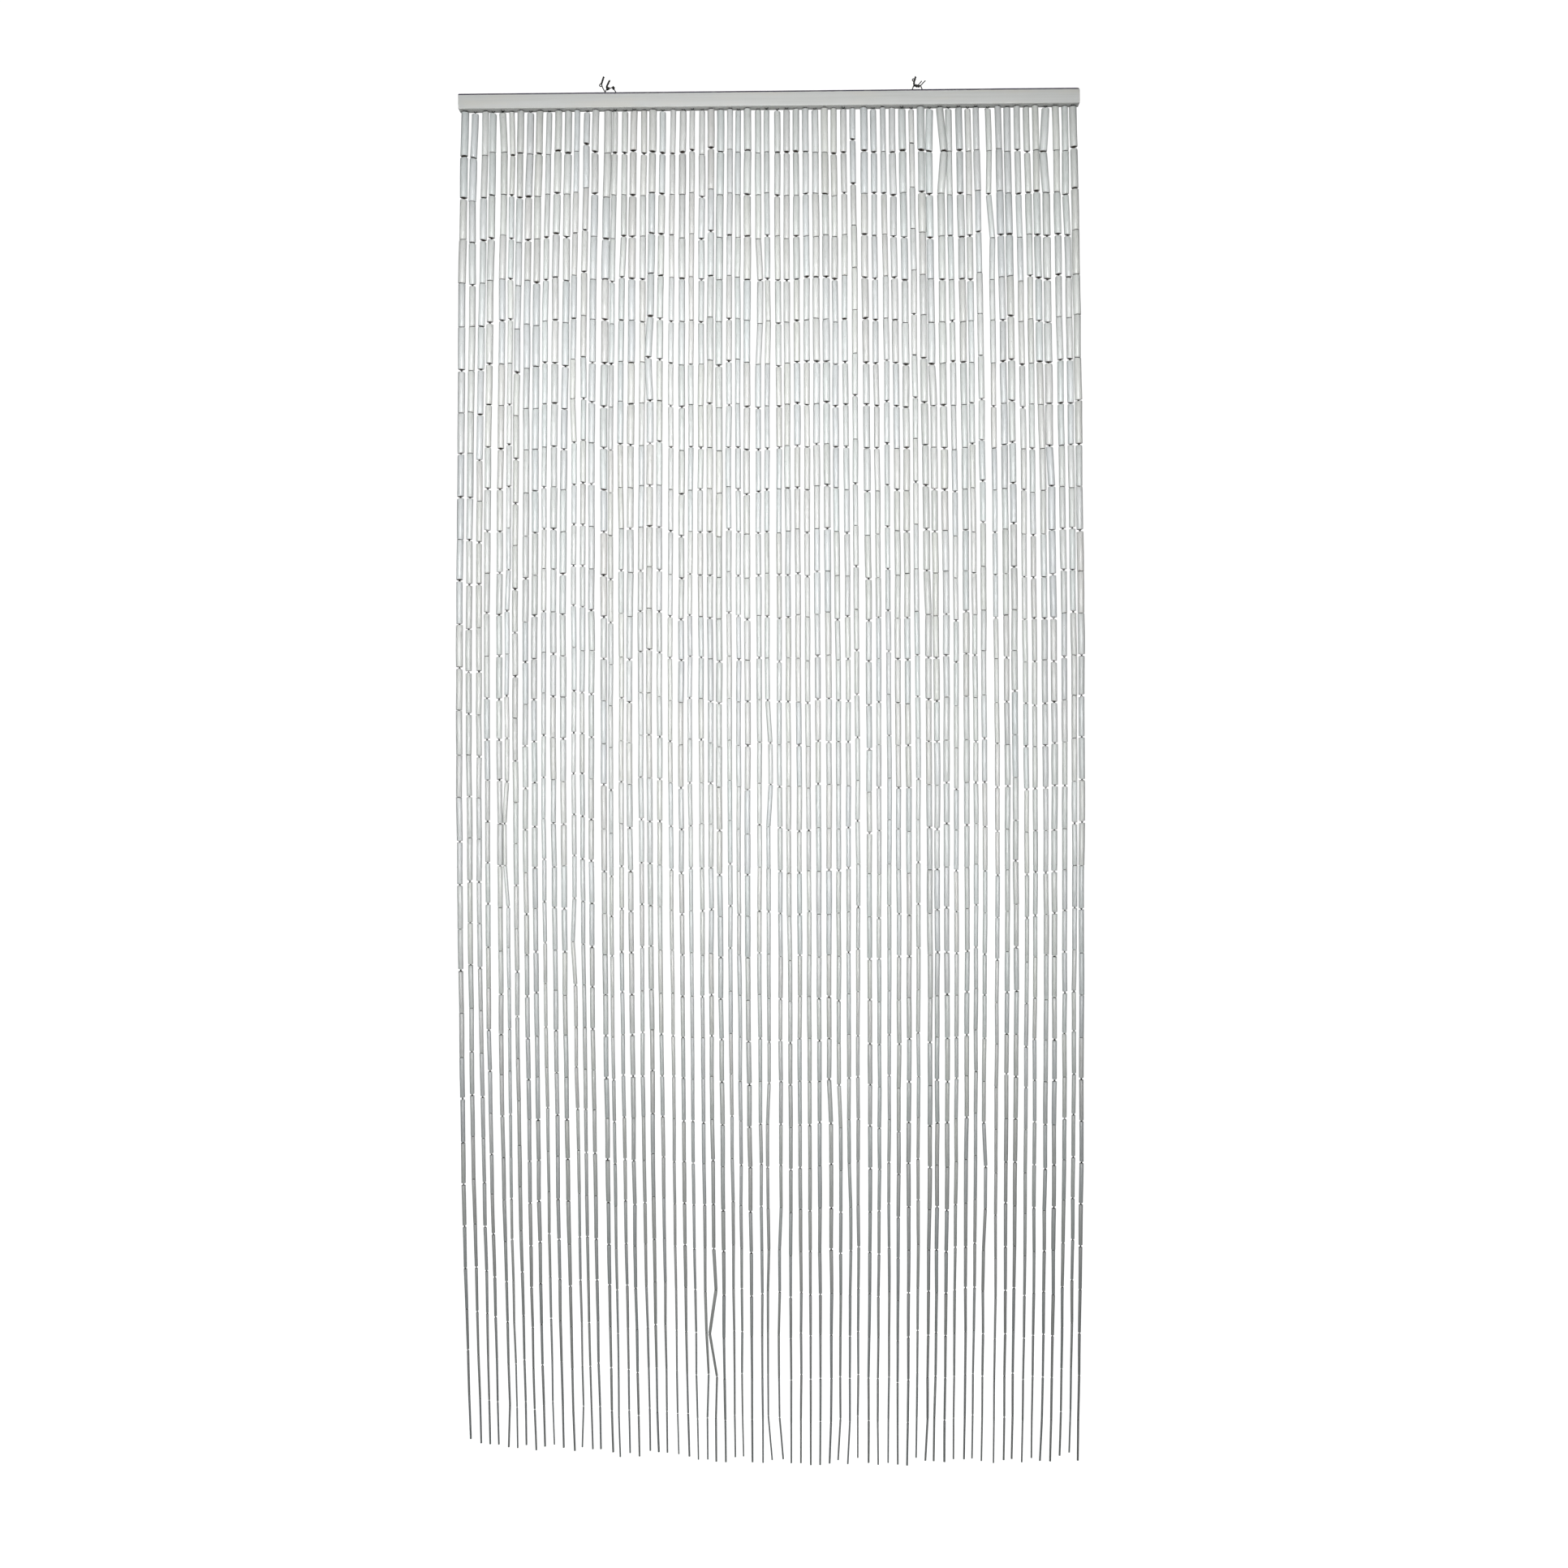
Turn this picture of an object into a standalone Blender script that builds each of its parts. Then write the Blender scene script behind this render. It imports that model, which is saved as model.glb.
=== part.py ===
"""Bead curtain of white-painted bamboo tubes: 65 strands under a wooden header slat with two wire hangers.

Metres, +Z up. The origin is the middle of the slat's top face, and the curtain's front looks towards -Y.
Strands are numbered from 1 at the left end as seen from the front. Each one is a chain of straight
tubes cut from one tapering cane, thick end up, so its solid is a four-sided run that bends only at joints.
"""
import math
from collections import namedtuple

import bmesh
import bpy
from mathutils import Vector

MM = 0.001

# Header slat
SLAT_LENGTH = 0.900
SLAT_DEPTH = 0.018
SLAT_HEIGHT = 0.022
SLAT_EDGE_ROUND = 0.0012

# Clearance between neighbouring pieces
PIECE_GAP = 0.0003

# Root strip, which stands for the row of staples that hold the strands
ROOT_STRIP_DEPTH = 0.008
ROOT_STRIP_HEIGHT = 0.002
ROOT_STRIP_END = 0.005

# Strands: how many, how far apart and how long, measured down from the slat's top face
STRAND_COUNT = 65
STRAND_SPREAD = 0.880
FIRST_TUBE_TOP = 0.0255
TUBE_PITCH = 0.0615
TUBE_LENGTH_SCATTER = 0.05
REACH_AT_LEFT = 1.958
REACH_HUMP = 0.030
REACH_HUMP_SPAN = 0.75
REACH_SCATTER = 0.006
JOINTS_PER_RING = 2

# Strand thickness: the cane tapers, a little faster near its tip, and each cane has its own size
TOP_DIAMETER = 0.0096
TIP_DIAMETER = 0.0035
TAPER_POWER = 1.6
TIP_THINNING = 0.0009
THINNING_START = 0.83
THINNING_END = 0.93
CANE_SCATTER = 0.17
ROOT_SHARE = 0.5
STRAND_SIDES_STEP = 0

# How the strands hang: spread at half height, leaning a little to the left, staggered in depth
# and never quite straight
MID_SPREAD = 0.012
MID_BULGE = 0.25
MID_LEAN = -0.0015
LOW_LEAN = -0.0015
STAGGER = 0.0018
SPACING_SCATTER = 0.0004
SWAY = 0.0004
SWAY_WAVES = (2.3, 5.2)
JOINT_SCATTER = 0.0005

# Gap after a strand that is wider or, below zero, narrower than the even spacing, in millimetres
Gap = namedtuple("Gap", "after extra")
GAPS = (
    Gap(after=2, extra=2.0),
    Gap(after=3, extra=-2.4),
    Gap(after=15, extra=3.1),
    Gap(after=16, extra=-2.2),
    Gap(after=22, extra=2.4),
    Gap(after=29, extra=-2.0),
    Gap(after=31, extra=1.6),
    Gap(after=32, extra=-1.6),
    Gap(after=33, extra=2.2),
    Gap(after=42, extra=2.8),
    Gap(after=54, extra=-1.9),
    Gap(after=55, extra=4.4),
    Gap(after=61, extra=1.7),
    Gap(after=64, extra=-2.2),
)

# Strands whose first tube is shorter than the rest, as a share of a whole tube
Short = namedtuple("Short", "strand share")
SHORT_FIRST_TUBES = (
    Short(strand=14, share=0.78),
    Short(strand=27, share=0.86),
    Short(strand=42, share=0.70),
    Short(strand=48, share=0.84),
)

# Strands that bend out of line: sideways is to the right and forward is to the front, in millimetres,
# over the joints from first to last, joint 0 being the top of the first tube
Bend = namedtuple("Bend", "strand first last sideways forward")
BENDS = (
    Bend(strand=2, first=1, last=3, sideways=-1.6, forward=0.0),
    Bend(strand=5, first=1, last=31, sideways=3.6, forward=1.6),
    Bend(strand=6, first=1, last=31, sideways=0.6, forward=-1.6),
    Bend(strand=6, first=1, last=11, sideways=1.5, forward=0.0),
    Bend(strand=6, first=17, last=18, sideways=-4.0, forward=-1.4),
    Bend(strand=13, first=8, last=31, sideways=3.0, forward=0.0),
    Bend(strand=13, first=20, last=20, sideways=-3.0, forward=0.0),
    Bend(strand=18, first=4, last=9, sideways=-1.8, forward=-1.0),
    Bend(strand=20, first=5, last=7, sideways=0.0, forward=-1.6),
    Bend(strand=21, first=5, last=7, sideways=0.0, forward=1.6),
    Bend(strand=21, first=6, last=6, sideways=-3.6, forward=0.4),
    Bend(strand=26, first=30, last=30, sideways=3.2, forward=0.0),
    Bend(strand=27, first=28, last=28, sideways=2.4, forward=0.0),
    Bend(strand=27, first=29, last=29, sideways=-8.0, forward=1.0),
    Bend(strand=27, first=30, last=30, sideways=2.0, forward=0.0),
    Bend(strand=32, first=4, last=5, sideways=2.6, forward=-1.4),
    Bend(strand=33, first=5, last=5, sideways=1.8, forward=1.4),
    Bend(strand=33, first=15, last=16, sideways=4.0, forward=0.0),
    Bend(strand=33, first=24, last=31, sideways=-3.0, forward=0.0),
    Bend(strand=33, first=28, last=31, sideways=-2.0, forward=0.0),
    Bend(strand=34, first=27, last=31, sideways=-2.5, forward=0.0),
    Bend(strand=34, first=29, last=31, sideways=-2.5, forward=0.0),
    Bend(strand=39, first=24, last=31, sideways=2.5, forward=0.0),
    Bend(strand=40, first=24, last=31, sideways=2.5, forward=0.0),
    Bend(strand=41, first=26, last=31, sideways=2.5, forward=0.0),
    Bend(strand=49, first=12, last=31, sideways=2.2, forward=1.2),
    Bend(strand=50, first=1, last=6, sideways=-2.0, forward=-0.8),
    Bend(strand=51, first=1, last=1, sideways=5.2, forward=2.8),
    Bend(strand=55, first=25, last=26, sideways=2.6, forward=0.0),
    Bend(strand=56, first=2, last=2, sideways=-2.4, forward=0.0),
    Bend(strand=56, first=3, last=3, sideways=2.6, forward=0.0),
    Bend(strand=61, first=8, last=31, sideways=1.6, forward=1.4),
    Bend(strand=62, first=1, last=1, sideways=-4.8, forward=-1.6),
    Bend(strand=62, first=2, last=3, sideways=-2.4, forward=-1.0),
    Bend(strand=62, first=4, last=8, sideways=-2.5, forward=-1.4),
    Bend(strand=64, first=2, last=2, sideways=-2.2, forward=0.0),
)

# Wire hangers: bent steel wire whose two feet stand in holes drilled in the slat's top
WIRE_RADIUS = 0.00075
WIRE_HOLE_RADIUS = 0.00115
WIRE_HOLE_DEPTH = 0.006
WIRE_HOLE_SIDES = 12
WIRE_FOOT_DEPTH = 0.005
WIRE_FOOT_RISE = 0.0006
WIRE_ROUND_STEPS = 3
WIRE_SIDES_STEP = 1
EYE_STEPS = 10
EYE_START = math.radians(20.0)
EYE_TURN = math.radians(320.0)

# Points of each wire in millimetres from the hanger's middle on the slat's top: right, back, up.
# The arch runs from foot to foot, the tails are twisted round its crown, and the eye's stem ends on it
Hanger = namedtuple("Hanger", "name middle feet arch tails eye eye_radius eye_stem")
HANGERS = (
    Hanger(
        name="hanger_left",
        middle=-0.2295,
        feet=(-9.4, 9.4),
        arch=((-7.4, 0.0, 4.2), (-4.7, 0.0, 8.0), (-0.2, 0.3, 9.0), (3.6, 0.0, 10.2), (6.0, 0.0, 6.2)),
        tails=(
            ((-1.6, -0.4, 8.9), (-5.0, -1.5, 9.6), (-4.4, -1.3, 12.6), (-0.9, -0.4, 20.4)),
            ((3.4, 0.2, 9.9), (4.6, -1.2, 10.6), (5.4, -0.9, 8.2), (4.2, 0.9, 7.2)),
        ),
        eye=(-14.2, 0.0, 13.4),
        eye_radius=1.7,
        eye_stem=(
            (-9.6, 0.0, 25.7),
            (-11.6, 0.0, 19.6),
            (-13.0, -0.7, 15.0),
            (-11.2, -0.5, 9.6),
            (-7.9, 0.0, 3.6),
        ),
    ),
    Hanger(
        name="hanger_right",
        middle=0.2158,
        feet=(-7.9, 8.0),
        arch=((-6.3, 0.0, 4.6), (-4.3, 0.0, 8.9), (0.9, 0.3, 7.5), (4.8, 0.0, 7.9), (6.7, 0.0, 4.4)),
        tails=(
            ((0.4, 0.2, 7.6), (1.6, -1.1, 8.9), (4.0, -0.9, 11.7), (6.7, -0.3, 14.9)),
            ((4.2, 0.1, 7.8), (6.2, -1.0, 9.2), (9.0, -0.6, 12.4), (12.1, 0.0, 15.4)),
        ),
        eye=(-5.2, 0.0, 16.6),
        eye_radius=1.6,
        eye_stem=(
            (-2.0, 0.0, 21.4),
            (-3.0, -0.4, 17.4),
            (-4.3, -0.6, 13.6),
            (-4.5, 0.0, 9.4),
            (-5.4, 0.0, 6.4),
        ),
    ),
)


def clear_scene():
    """Remove what a new file holds."""
    for item in list(bpy.data.objects):
        bpy.data.objects.remove(item, do_unlink=True)


def make_collection(name):
    """Make a collection under the scene's own."""
    collection = bpy.data.collections.new(name)
    bpy.context.scene.collection.children.link(collection)
    return collection


def make_material(name, color, roughness, metallic=0.0):
    """Make a plain Principled material."""
    material = bpy.data.materials.new(name)
    material.use_nodes = True
    shader = material.node_tree.nodes["Principled BSDF"]
    shader.inputs["Base Color"].default_value = (*color, 1.0)
    shader.inputs["Roughness"].default_value = roughness
    shader.inputs["Metallic"].default_value = metallic
    return material


def add_object(name, mesh, collection, material=None):
    """Link a new object that holds the mesh."""
    item = bpy.data.objects.new(name, mesh)
    collection.objects.link(item)
    if material:
        mesh.materials.append(material)
    return item


def mark_as_cutter(item):
    """Keep a guide out of the model and show it as lines."""
    item.hide_render = True
    item.display_type = "WIRE"


def add_boolean(item, other, operation):
    """Cut or join the item with another object, by the exact solver."""
    modifier = item.modifiers.new(other.name, "BOOLEAN")
    modifier.operation = operation
    modifier.object = other
    modifier.solver = "EXACT"


def make_box_mesh(name, length, depth, height):
    """Make a box whose top face's middle is its origin."""
    work = bmesh.new()
    bmesh.ops.create_cube(work, size=1.0)
    bmesh.ops.scale(work, vec=(length, depth, height), verts=work.verts)
    bmesh.ops.translate(work, vec=(0.0, 0.0, -height / 2), verts=work.verts)
    mesh = bpy.data.meshes.new(name)
    work.to_mesh(mesh)
    work.free()
    return mesh


def curve_to_mesh(curve_object, name):
    """Turn a bevelled curve into a closed mesh, its end caps welded to its walls."""
    bpy.context.view_layer.update()
    depsgraph = bpy.context.evaluated_depsgraph_get()
    mesh = bpy.data.meshes.new_from_object(curve_object.evaluated_get(depsgraph))
    mesh.name = name
    work = bmesh.new()
    work.from_mesh(mesh)
    bmesh.ops.remove_doubles(work, verts=work.verts, dist=0.00001)
    work.to_mesh(mesh)
    work.free()
    mesh.transform(curve_object.matrix_world)
    curve = curve_object.data
    bpy.data.objects.remove(curve_object, do_unlink=True)
    bpy.data.curves.remove(curve)
    mesh.materials.clear()
    return mesh


def make_tubes(name, runs, sides_step, collection):
    """Make round or four-sided bars as one curve object: each run is a list of (centre, radius)."""
    curve = bpy.data.curves.new(name, "CURVE")
    curve.dimensions = "3D"
    curve.bevel_depth = 1.0
    curve.bevel_resolution = sides_step
    curve.use_fill_caps = True
    for run in runs:
        spline = curve.splines.new("POLY")
        spline.points.add(len(run) - 1)
        for point, (centre, radius) in zip(spline.points, run):
            point.co = (*centre, 1.0)
            point.radius = radius
    return add_object(name, curve, collection)


def scatter(strand, joint, use):
    """Give a fixed number from -1 to 1 for a strand, a joint and a use, like a throw of dice."""
    value = math.sin(strand * 12.9898 + joint * 78.233 + use * 37.719) * 43758.5453
    return 2.0 * (value - math.floor(value)) - 1.0


def strand_places():
    """Work out where each strand leaves the slat, from the even spacing and the table of gaps."""
    extra = {gap.after: gap.extra * MM for gap in GAPS}
    even = (STRAND_SPREAD - sum(extra.values())) / (STRAND_COUNT - 1)
    places = {1: -STRAND_SPREAD / 2}
    for strand in range(2, STRAND_COUNT + 1):
        places[strand] = places[strand - 1] + even + extra.get(strand - 1, 0.0)
    for strand in range(2, STRAND_COUNT):
        places[strand] += SPACING_SCATTER * scatter(strand, 0, 1)
    return places


def strand_reach(strand):
    """Depth of a strand's tip: longest right of the middle, uneven from strand to strand."""
    share = (strand - 1) / (STRAND_COUNT - 1)
    hump = REACH_HUMP * math.sin(math.pi * REACH_HUMP_SPAN * share)
    return REACH_AT_LEFT + hump + REACH_SCATTER * scatter(strand, 0, 2)


def joint_depths(strand):
    """Depth of each joint of a strand, from the top of its first tube to its tip."""
    reach = strand_reach(strand)
    count = round((reach - FIRST_TUBE_TOP) / TUBE_PITCH)
    lengths = [1.0 + TUBE_LENGTH_SCATTER * scatter(strand, joint, 3) for joint in range(count)]
    for short in SHORT_FIRST_TUBES:
        if short.strand == strand:
            lengths[0] *= short.share
    scale = (reach - FIRST_TUBE_TOP) / sum(lengths)
    depths = [FIRST_TUBE_TOP]
    for length in lengths:
        depths.append(depths[-1] + length * scale)
    return depths


def joint_offset(strand, joint, share):
    """Sideways and forward offset of a joint: slow sway, small scatter and the bends of the table."""
    sway = 0.0
    for number, waves in enumerate(SWAY_WAVES):
        phase = math.pi * scatter(strand, number, 4)
        sway += SWAY * (math.sin(waves * math.pi * share + phase) - math.sin(phase))
    sideways = sway + JOINT_SCATTER * scatter(strand, joint, 5) * min(joint, 1)
    forward = STAGGER * (1 if strand % 2 else -1) + JOINT_SCATTER * scatter(strand, joint, 6)
    for bend in BENDS:
        if bend.strand == strand and bend.first <= joint <= bend.last:
            sideways += bend.sideways * MM
            forward += bend.forward * MM
    return sideways, forward


def joint_centre(strand, joint, depth, place):
    """Place of a joint: the strand's place at the slat, the spread at half height and its own offset."""
    share = depth / (REACH_AT_LEFT + REACH_HUMP)
    side = place / (STRAND_SPREAD / 2)
    spread = MID_SPREAD * (side + MID_BULGE * math.sin(math.pi * side)) + MID_LEAN
    hang = spread * 4.0 * share * (1.0 - share) + LOW_LEAN * share
    sideways, forward = joint_offset(strand, joint, share)
    return Vector((place + hang + sideways, -forward, -depth))


def strand_radius(strand, depth):
    """Half the cane's thickness at a depth: it tapers slowly at first, then faster towards the tip."""
    share = min(depth / strand_reach(strand), 1.0)
    diameter = TOP_DIAMETER - (TOP_DIAMETER - TIP_DIAMETER) * share**TAPER_POWER
    thinning = (share - THINNING_START) / (THINNING_END - THINNING_START)
    diameter -= TIP_THINNING * min(max(thinning, 0.0), 1.0)
    return 0.5 * diameter * (1.0 + CANE_SCATTER * scatter(strand, 0, 7))


def joint_bends(strand, joint):
    """Tell whether the table of bends starts, holds or ends beside this joint."""
    edges = [edge for bend in BENDS if bend.strand == strand for edge in (bend.first, bend.last)]
    return any(abs(joint - edge) <= 1 for edge in edges)


def strand_run(strand, place):
    """Rings of one strand: its root in the strip, then a ring at every second joint and at each bend."""
    depths = joint_depths(strand)
    last = len(depths) - 1
    root = joint_centre(strand, 0, depths[0], place)
    root.z = -(SLAT_HEIGHT + PIECE_GAP + ROOT_STRIP_HEIGHT / 2)
    run = [(root, ROOT_SHARE * strand_radius(strand, 0.0))]
    for joint, depth in enumerate(depths):
        if joint % JOINTS_PER_RING == 0 or joint == last or joint_bends(strand, joint):
            run.append((joint_centre(strand, joint, depth, place), strand_radius(strand, depth)))
    return run


def make_strands(collection, cutters, material):
    """Make the 65 strands, fused at their roots into one narrow strip under the slat."""
    places = strand_places()
    runs = [strand_run(strand, places[strand]) for strand in places]
    curve_object = make_tubes("strand_runs", runs, STRAND_SIDES_STEP, cutters)
    bundle = add_object("strand_runs", curve_to_mesh(curve_object, "strand_runs"), cutters)
    mark_as_cutter(bundle)
    length = STRAND_SPREAD + 2 * ROOT_STRIP_END
    strip = make_box_mesh("strands", length, ROOT_STRIP_DEPTH, ROOT_STRIP_HEIGHT)
    strands = add_object("strands", strip, collection, material)
    strands.location.z = -(SLAT_HEIGHT + PIECE_GAP)
    add_boolean(strands, bundle, "UNION")
    return strands


def make_hole_cutter(name, place, cutters):
    """Make the drill for one wire hole, standing proud of the slat's top."""
    work = bmesh.new()
    bmesh.ops.create_cone(
        work,
        cap_ends=True,
        segments=WIRE_HOLE_SIDES,
        radius1=WIRE_HOLE_RADIUS,
        radius2=WIRE_HOLE_RADIUS,
        depth=2 * WIRE_HOLE_DEPTH,
    )
    mesh = bpy.data.meshes.new(name)
    work.to_mesh(mesh)
    work.free()
    cutter = add_object(name, mesh, cutters)
    cutter.location = (place, 0.0, 0.0)
    mark_as_cutter(cutter)
    return cutter


def make_slat(collection, cutters, material):
    """Make the header slat, its edges a little rounded, with two drilled holes for each hanger."""
    mesh = make_box_mesh("header_slat", SLAT_LENGTH, SLAT_DEPTH, SLAT_HEIGHT)
    slat = add_object("header_slat", mesh, collection, material)
    edges = slat.modifiers.new("rounded_edges", "BEVEL")
    edges.width = SLAT_EDGE_ROUND
    edges.segments = 2
    for hanger in HANGERS:
        for number, foot in enumerate(hanger.feet, start=1):
            name = f"{hanger.name}_hole_{number}"
            add_boolean(slat, make_hole_cutter(name, hanger.middle + foot * MM, cutters), "DIFFERENCE")
    return slat


def smooth_route(points):
    """Carry a wire's few bend points over into a smooth route, by a Catmull-Rom curve."""
    ends = [2 * points[0] - points[1], *points, 2 * points[-1] - points[-2]]
    route = []
    for before, start, stop, after in zip(ends, ends[1:], ends[2:], ends[3:]):
        for step in range(WIRE_ROUND_STEPS):
            t = step / WIRE_ROUND_STEPS
            straight = start * 2 + (stop - before) * t
            curved = (before * 2 - start * 5 + stop * 4 - after) * t**2
            last = (start * 3 - before - stop * 3 + after) * t**3
            route.append((straight + curved + last) / 2)
    route.append(points[-1])
    return route


def wire_run(points, middle):
    """Rings of one wire, from bend points in millimetres about the hanger's middle."""
    places = [Vector(point) * MM + Vector((middle, 0.0, 0.0)) for point in points]
    return [(place, WIRE_RADIUS) for place in smooth_route(places)]


def arch_run(hanger):
    """Rings of the arch: straight up out of one hole, over the crown and down into the other."""
    points = [Vector(point) for point in hanger.arch]
    left, right = (Vector((foot, 0.0, WIRE_FOOT_RISE / MM)) for foot in hanger.feet)
    run = wire_run([left, *points, right], hanger.middle)
    first, last = (Vector((hanger.middle + foot * MM, 0.0, -WIRE_FOOT_DEPTH)) for foot in hanger.feet)
    return [(first, WIRE_RADIUS), *run, (last, WIRE_RADIUS)]


def eye_run(hanger):
    """Rings of the small eye: most of a turn, open where its ends lie on the stem."""
    run = []
    for step in range(EYE_STEPS):
        angle = EYE_START + EYE_TURN * step / (EYE_STEPS - 1)
        right = hanger.eye[0] + hanger.eye_radius * math.cos(angle)
        up = hanger.eye[2] + hanger.eye_radius * math.sin(angle)
        place = Vector((hanger.middle + right * MM, hanger.eye[1] * MM, up * MM))
        run.append((place, WIRE_RADIUS))
    return run


def make_hanger(hanger, collection, cutters, material):
    """Make one hanger: the arch, with its twisted tails and its eye joined to it."""
    arch = make_tubes(f"{hanger.name}_arch", [arch_run(hanger)], WIRE_SIDES_STEP, cutters)
    mesh = curve_to_mesh(arch, hanger.name)
    mesh.shade_smooth()
    item = add_object(hanger.name, mesh, collection, material)
    wires = [wire_run(tail, hanger.middle) for tail in hanger.tails]
    wires.append(wire_run(hanger.eye_stem, hanger.middle))
    wires.append(eye_run(hanger))
    for number, run in enumerate(wires, start=1):
        name = f"{hanger.name}_wire_{number}"
        mesh = curve_to_mesh(make_tubes(name, [run], WIRE_SIDES_STEP, cutters), name)
        mesh.shade_smooth()
        wire = add_object(name, mesh, cutters)
        mark_as_cutter(wire)
        add_boolean(item, wire, "UNION")
    return item


def main():
    """Build the curtain's four pieces."""
    clear_scene()
    collection = make_collection("bead_curtain")
    cutters = make_collection("cutters")
    paint = make_material("white_paint", (0.58, 0.58, 0.56), 0.55)
    bamboo = make_material("painted_bamboo", (0.72, 0.71, 0.68), 0.5)
    steel = make_material("steel_wire", (0.17, 0.17, 0.17), 0.4, metallic=1.0)
    make_slat(collection, cutters, paint)
    make_strands(collection, cutters, bamboo)
    for hanger in HANGERS:
        make_hanger(hanger, collection, cutters, steel)


main()
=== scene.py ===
"""Looks of the bead curtain: painted bamboo tubes on wire links, under a painted slat with two wire hangers.

Metres, +Z up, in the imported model's own frame: the origin is the middle of the slat's top face, and the
front looks towards -Y. Strands are numbered from 1 at the left end as seen from the front, and joint 0
of a strand is the top of its first tube. Where each joint hangs is worked out as in the part's source.
"""

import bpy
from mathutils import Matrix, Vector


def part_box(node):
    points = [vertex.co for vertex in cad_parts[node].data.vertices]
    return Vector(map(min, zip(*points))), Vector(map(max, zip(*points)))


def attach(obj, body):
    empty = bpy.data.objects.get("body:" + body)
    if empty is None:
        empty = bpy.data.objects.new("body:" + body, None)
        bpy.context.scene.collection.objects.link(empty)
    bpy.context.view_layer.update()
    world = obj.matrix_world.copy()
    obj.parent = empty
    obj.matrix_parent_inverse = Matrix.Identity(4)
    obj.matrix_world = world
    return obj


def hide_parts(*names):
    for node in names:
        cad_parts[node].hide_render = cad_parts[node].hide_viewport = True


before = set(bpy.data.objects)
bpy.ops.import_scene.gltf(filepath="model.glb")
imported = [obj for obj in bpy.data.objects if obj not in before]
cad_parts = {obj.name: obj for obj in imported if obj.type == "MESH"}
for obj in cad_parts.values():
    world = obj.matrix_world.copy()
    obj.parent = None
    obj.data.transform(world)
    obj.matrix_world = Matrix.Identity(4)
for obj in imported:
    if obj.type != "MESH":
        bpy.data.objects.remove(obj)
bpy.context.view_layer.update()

import logging
import math
from collections.abc import Iterator
from dataclasses import dataclass, field
from enum import Enum
from typing import Self

import bpy
import numpy as np
from mathutils import Matrix, Vector

MM = 0.001
BODY = "root"
RIGHT, BACK, UP = np.eye(3)
WHITE = (1.0, 1.0, 1.0, 1.0)

Point = tuple[float, float, float]
Colour = tuple[float, float, float, float]
Span = tuple[float, ...]
Socket = bpy.types.NodeSocket

log = logging.getLogger("bead_curtain")

# What scatter multiplies a strand, a joint, a throw and the sine by.
DICE = (12.9898, 78.233, 37.719, 43758.5453)


class Slot(Enum):
    """The record's material slots."""

    WOOD = "painted_wood"
    BAMBOO = "painted_bamboo"
    STEEL = "steel_wire"


class Throw(Enum):
    """What a throw of the fixed dice is used for. The first seven are those of the part's source."""

    PLACE = 1
    REACH = 2
    LENGTH = 3
    SWAY = 4
    SIDEWAYS = 5
    FORWARD = 6
    CANE = 7
    GAP = 11
    CUT = 12
    CUT_TURN = 13
    GIRTH = 16
    OVAL = 17
    BOW = 18
    SHADE = 19
    STRAND_SHADE = 20
    WARM = 21
    GREEN = 22
    BORE = 23
    LINK_TURN = 24
    TAIL = 25
    TAIL_TURN = 26
    PATTERN = 27


def scatter(strand: np.ndarray, joint: np.ndarray | int, throw: Throw) -> np.ndarray:
    """Give fixed numbers from -1 to 1, like throws of dice: the fraction of a large sine.

    Args:
        strand: Strand numbers.
        joint: Joint numbers, or one for all.
        throw: What the number is used for.

    Returns:
        One number for each strand and joint.
    """
    value = np.sin(strand * DICE[0] + joint * DICE[1] + throw.value * DICE[2]) * DICE[3]
    return 2.0 * (value - np.floor(value)) - 1.0


def unit(vectors: np.ndarray) -> np.ndarray:
    """Scale vectors, on the last axis, to a length of one."""
    return vectors / np.linalg.norm(vectors, axis=-1, keepdims=True)


@dataclass(frozen=True)
class Gap:
    """A gap after a strand that is wider or, below zero, narrower than the even spacing, in millimetres."""

    after: int
    extra: float


@dataclass(frozen=True)
class ShortTube:
    """A strand whose first tube is shorter than the rest, as a share of a whole tube."""

    strand: int
    share: float


@dataclass(frozen=True)
class Bend:
    """A strand that bends out of line over some joints, to the right and to the front, in millimetres."""

    strand: int
    first: int
    last: int
    sideways: float
    forward: float


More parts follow.
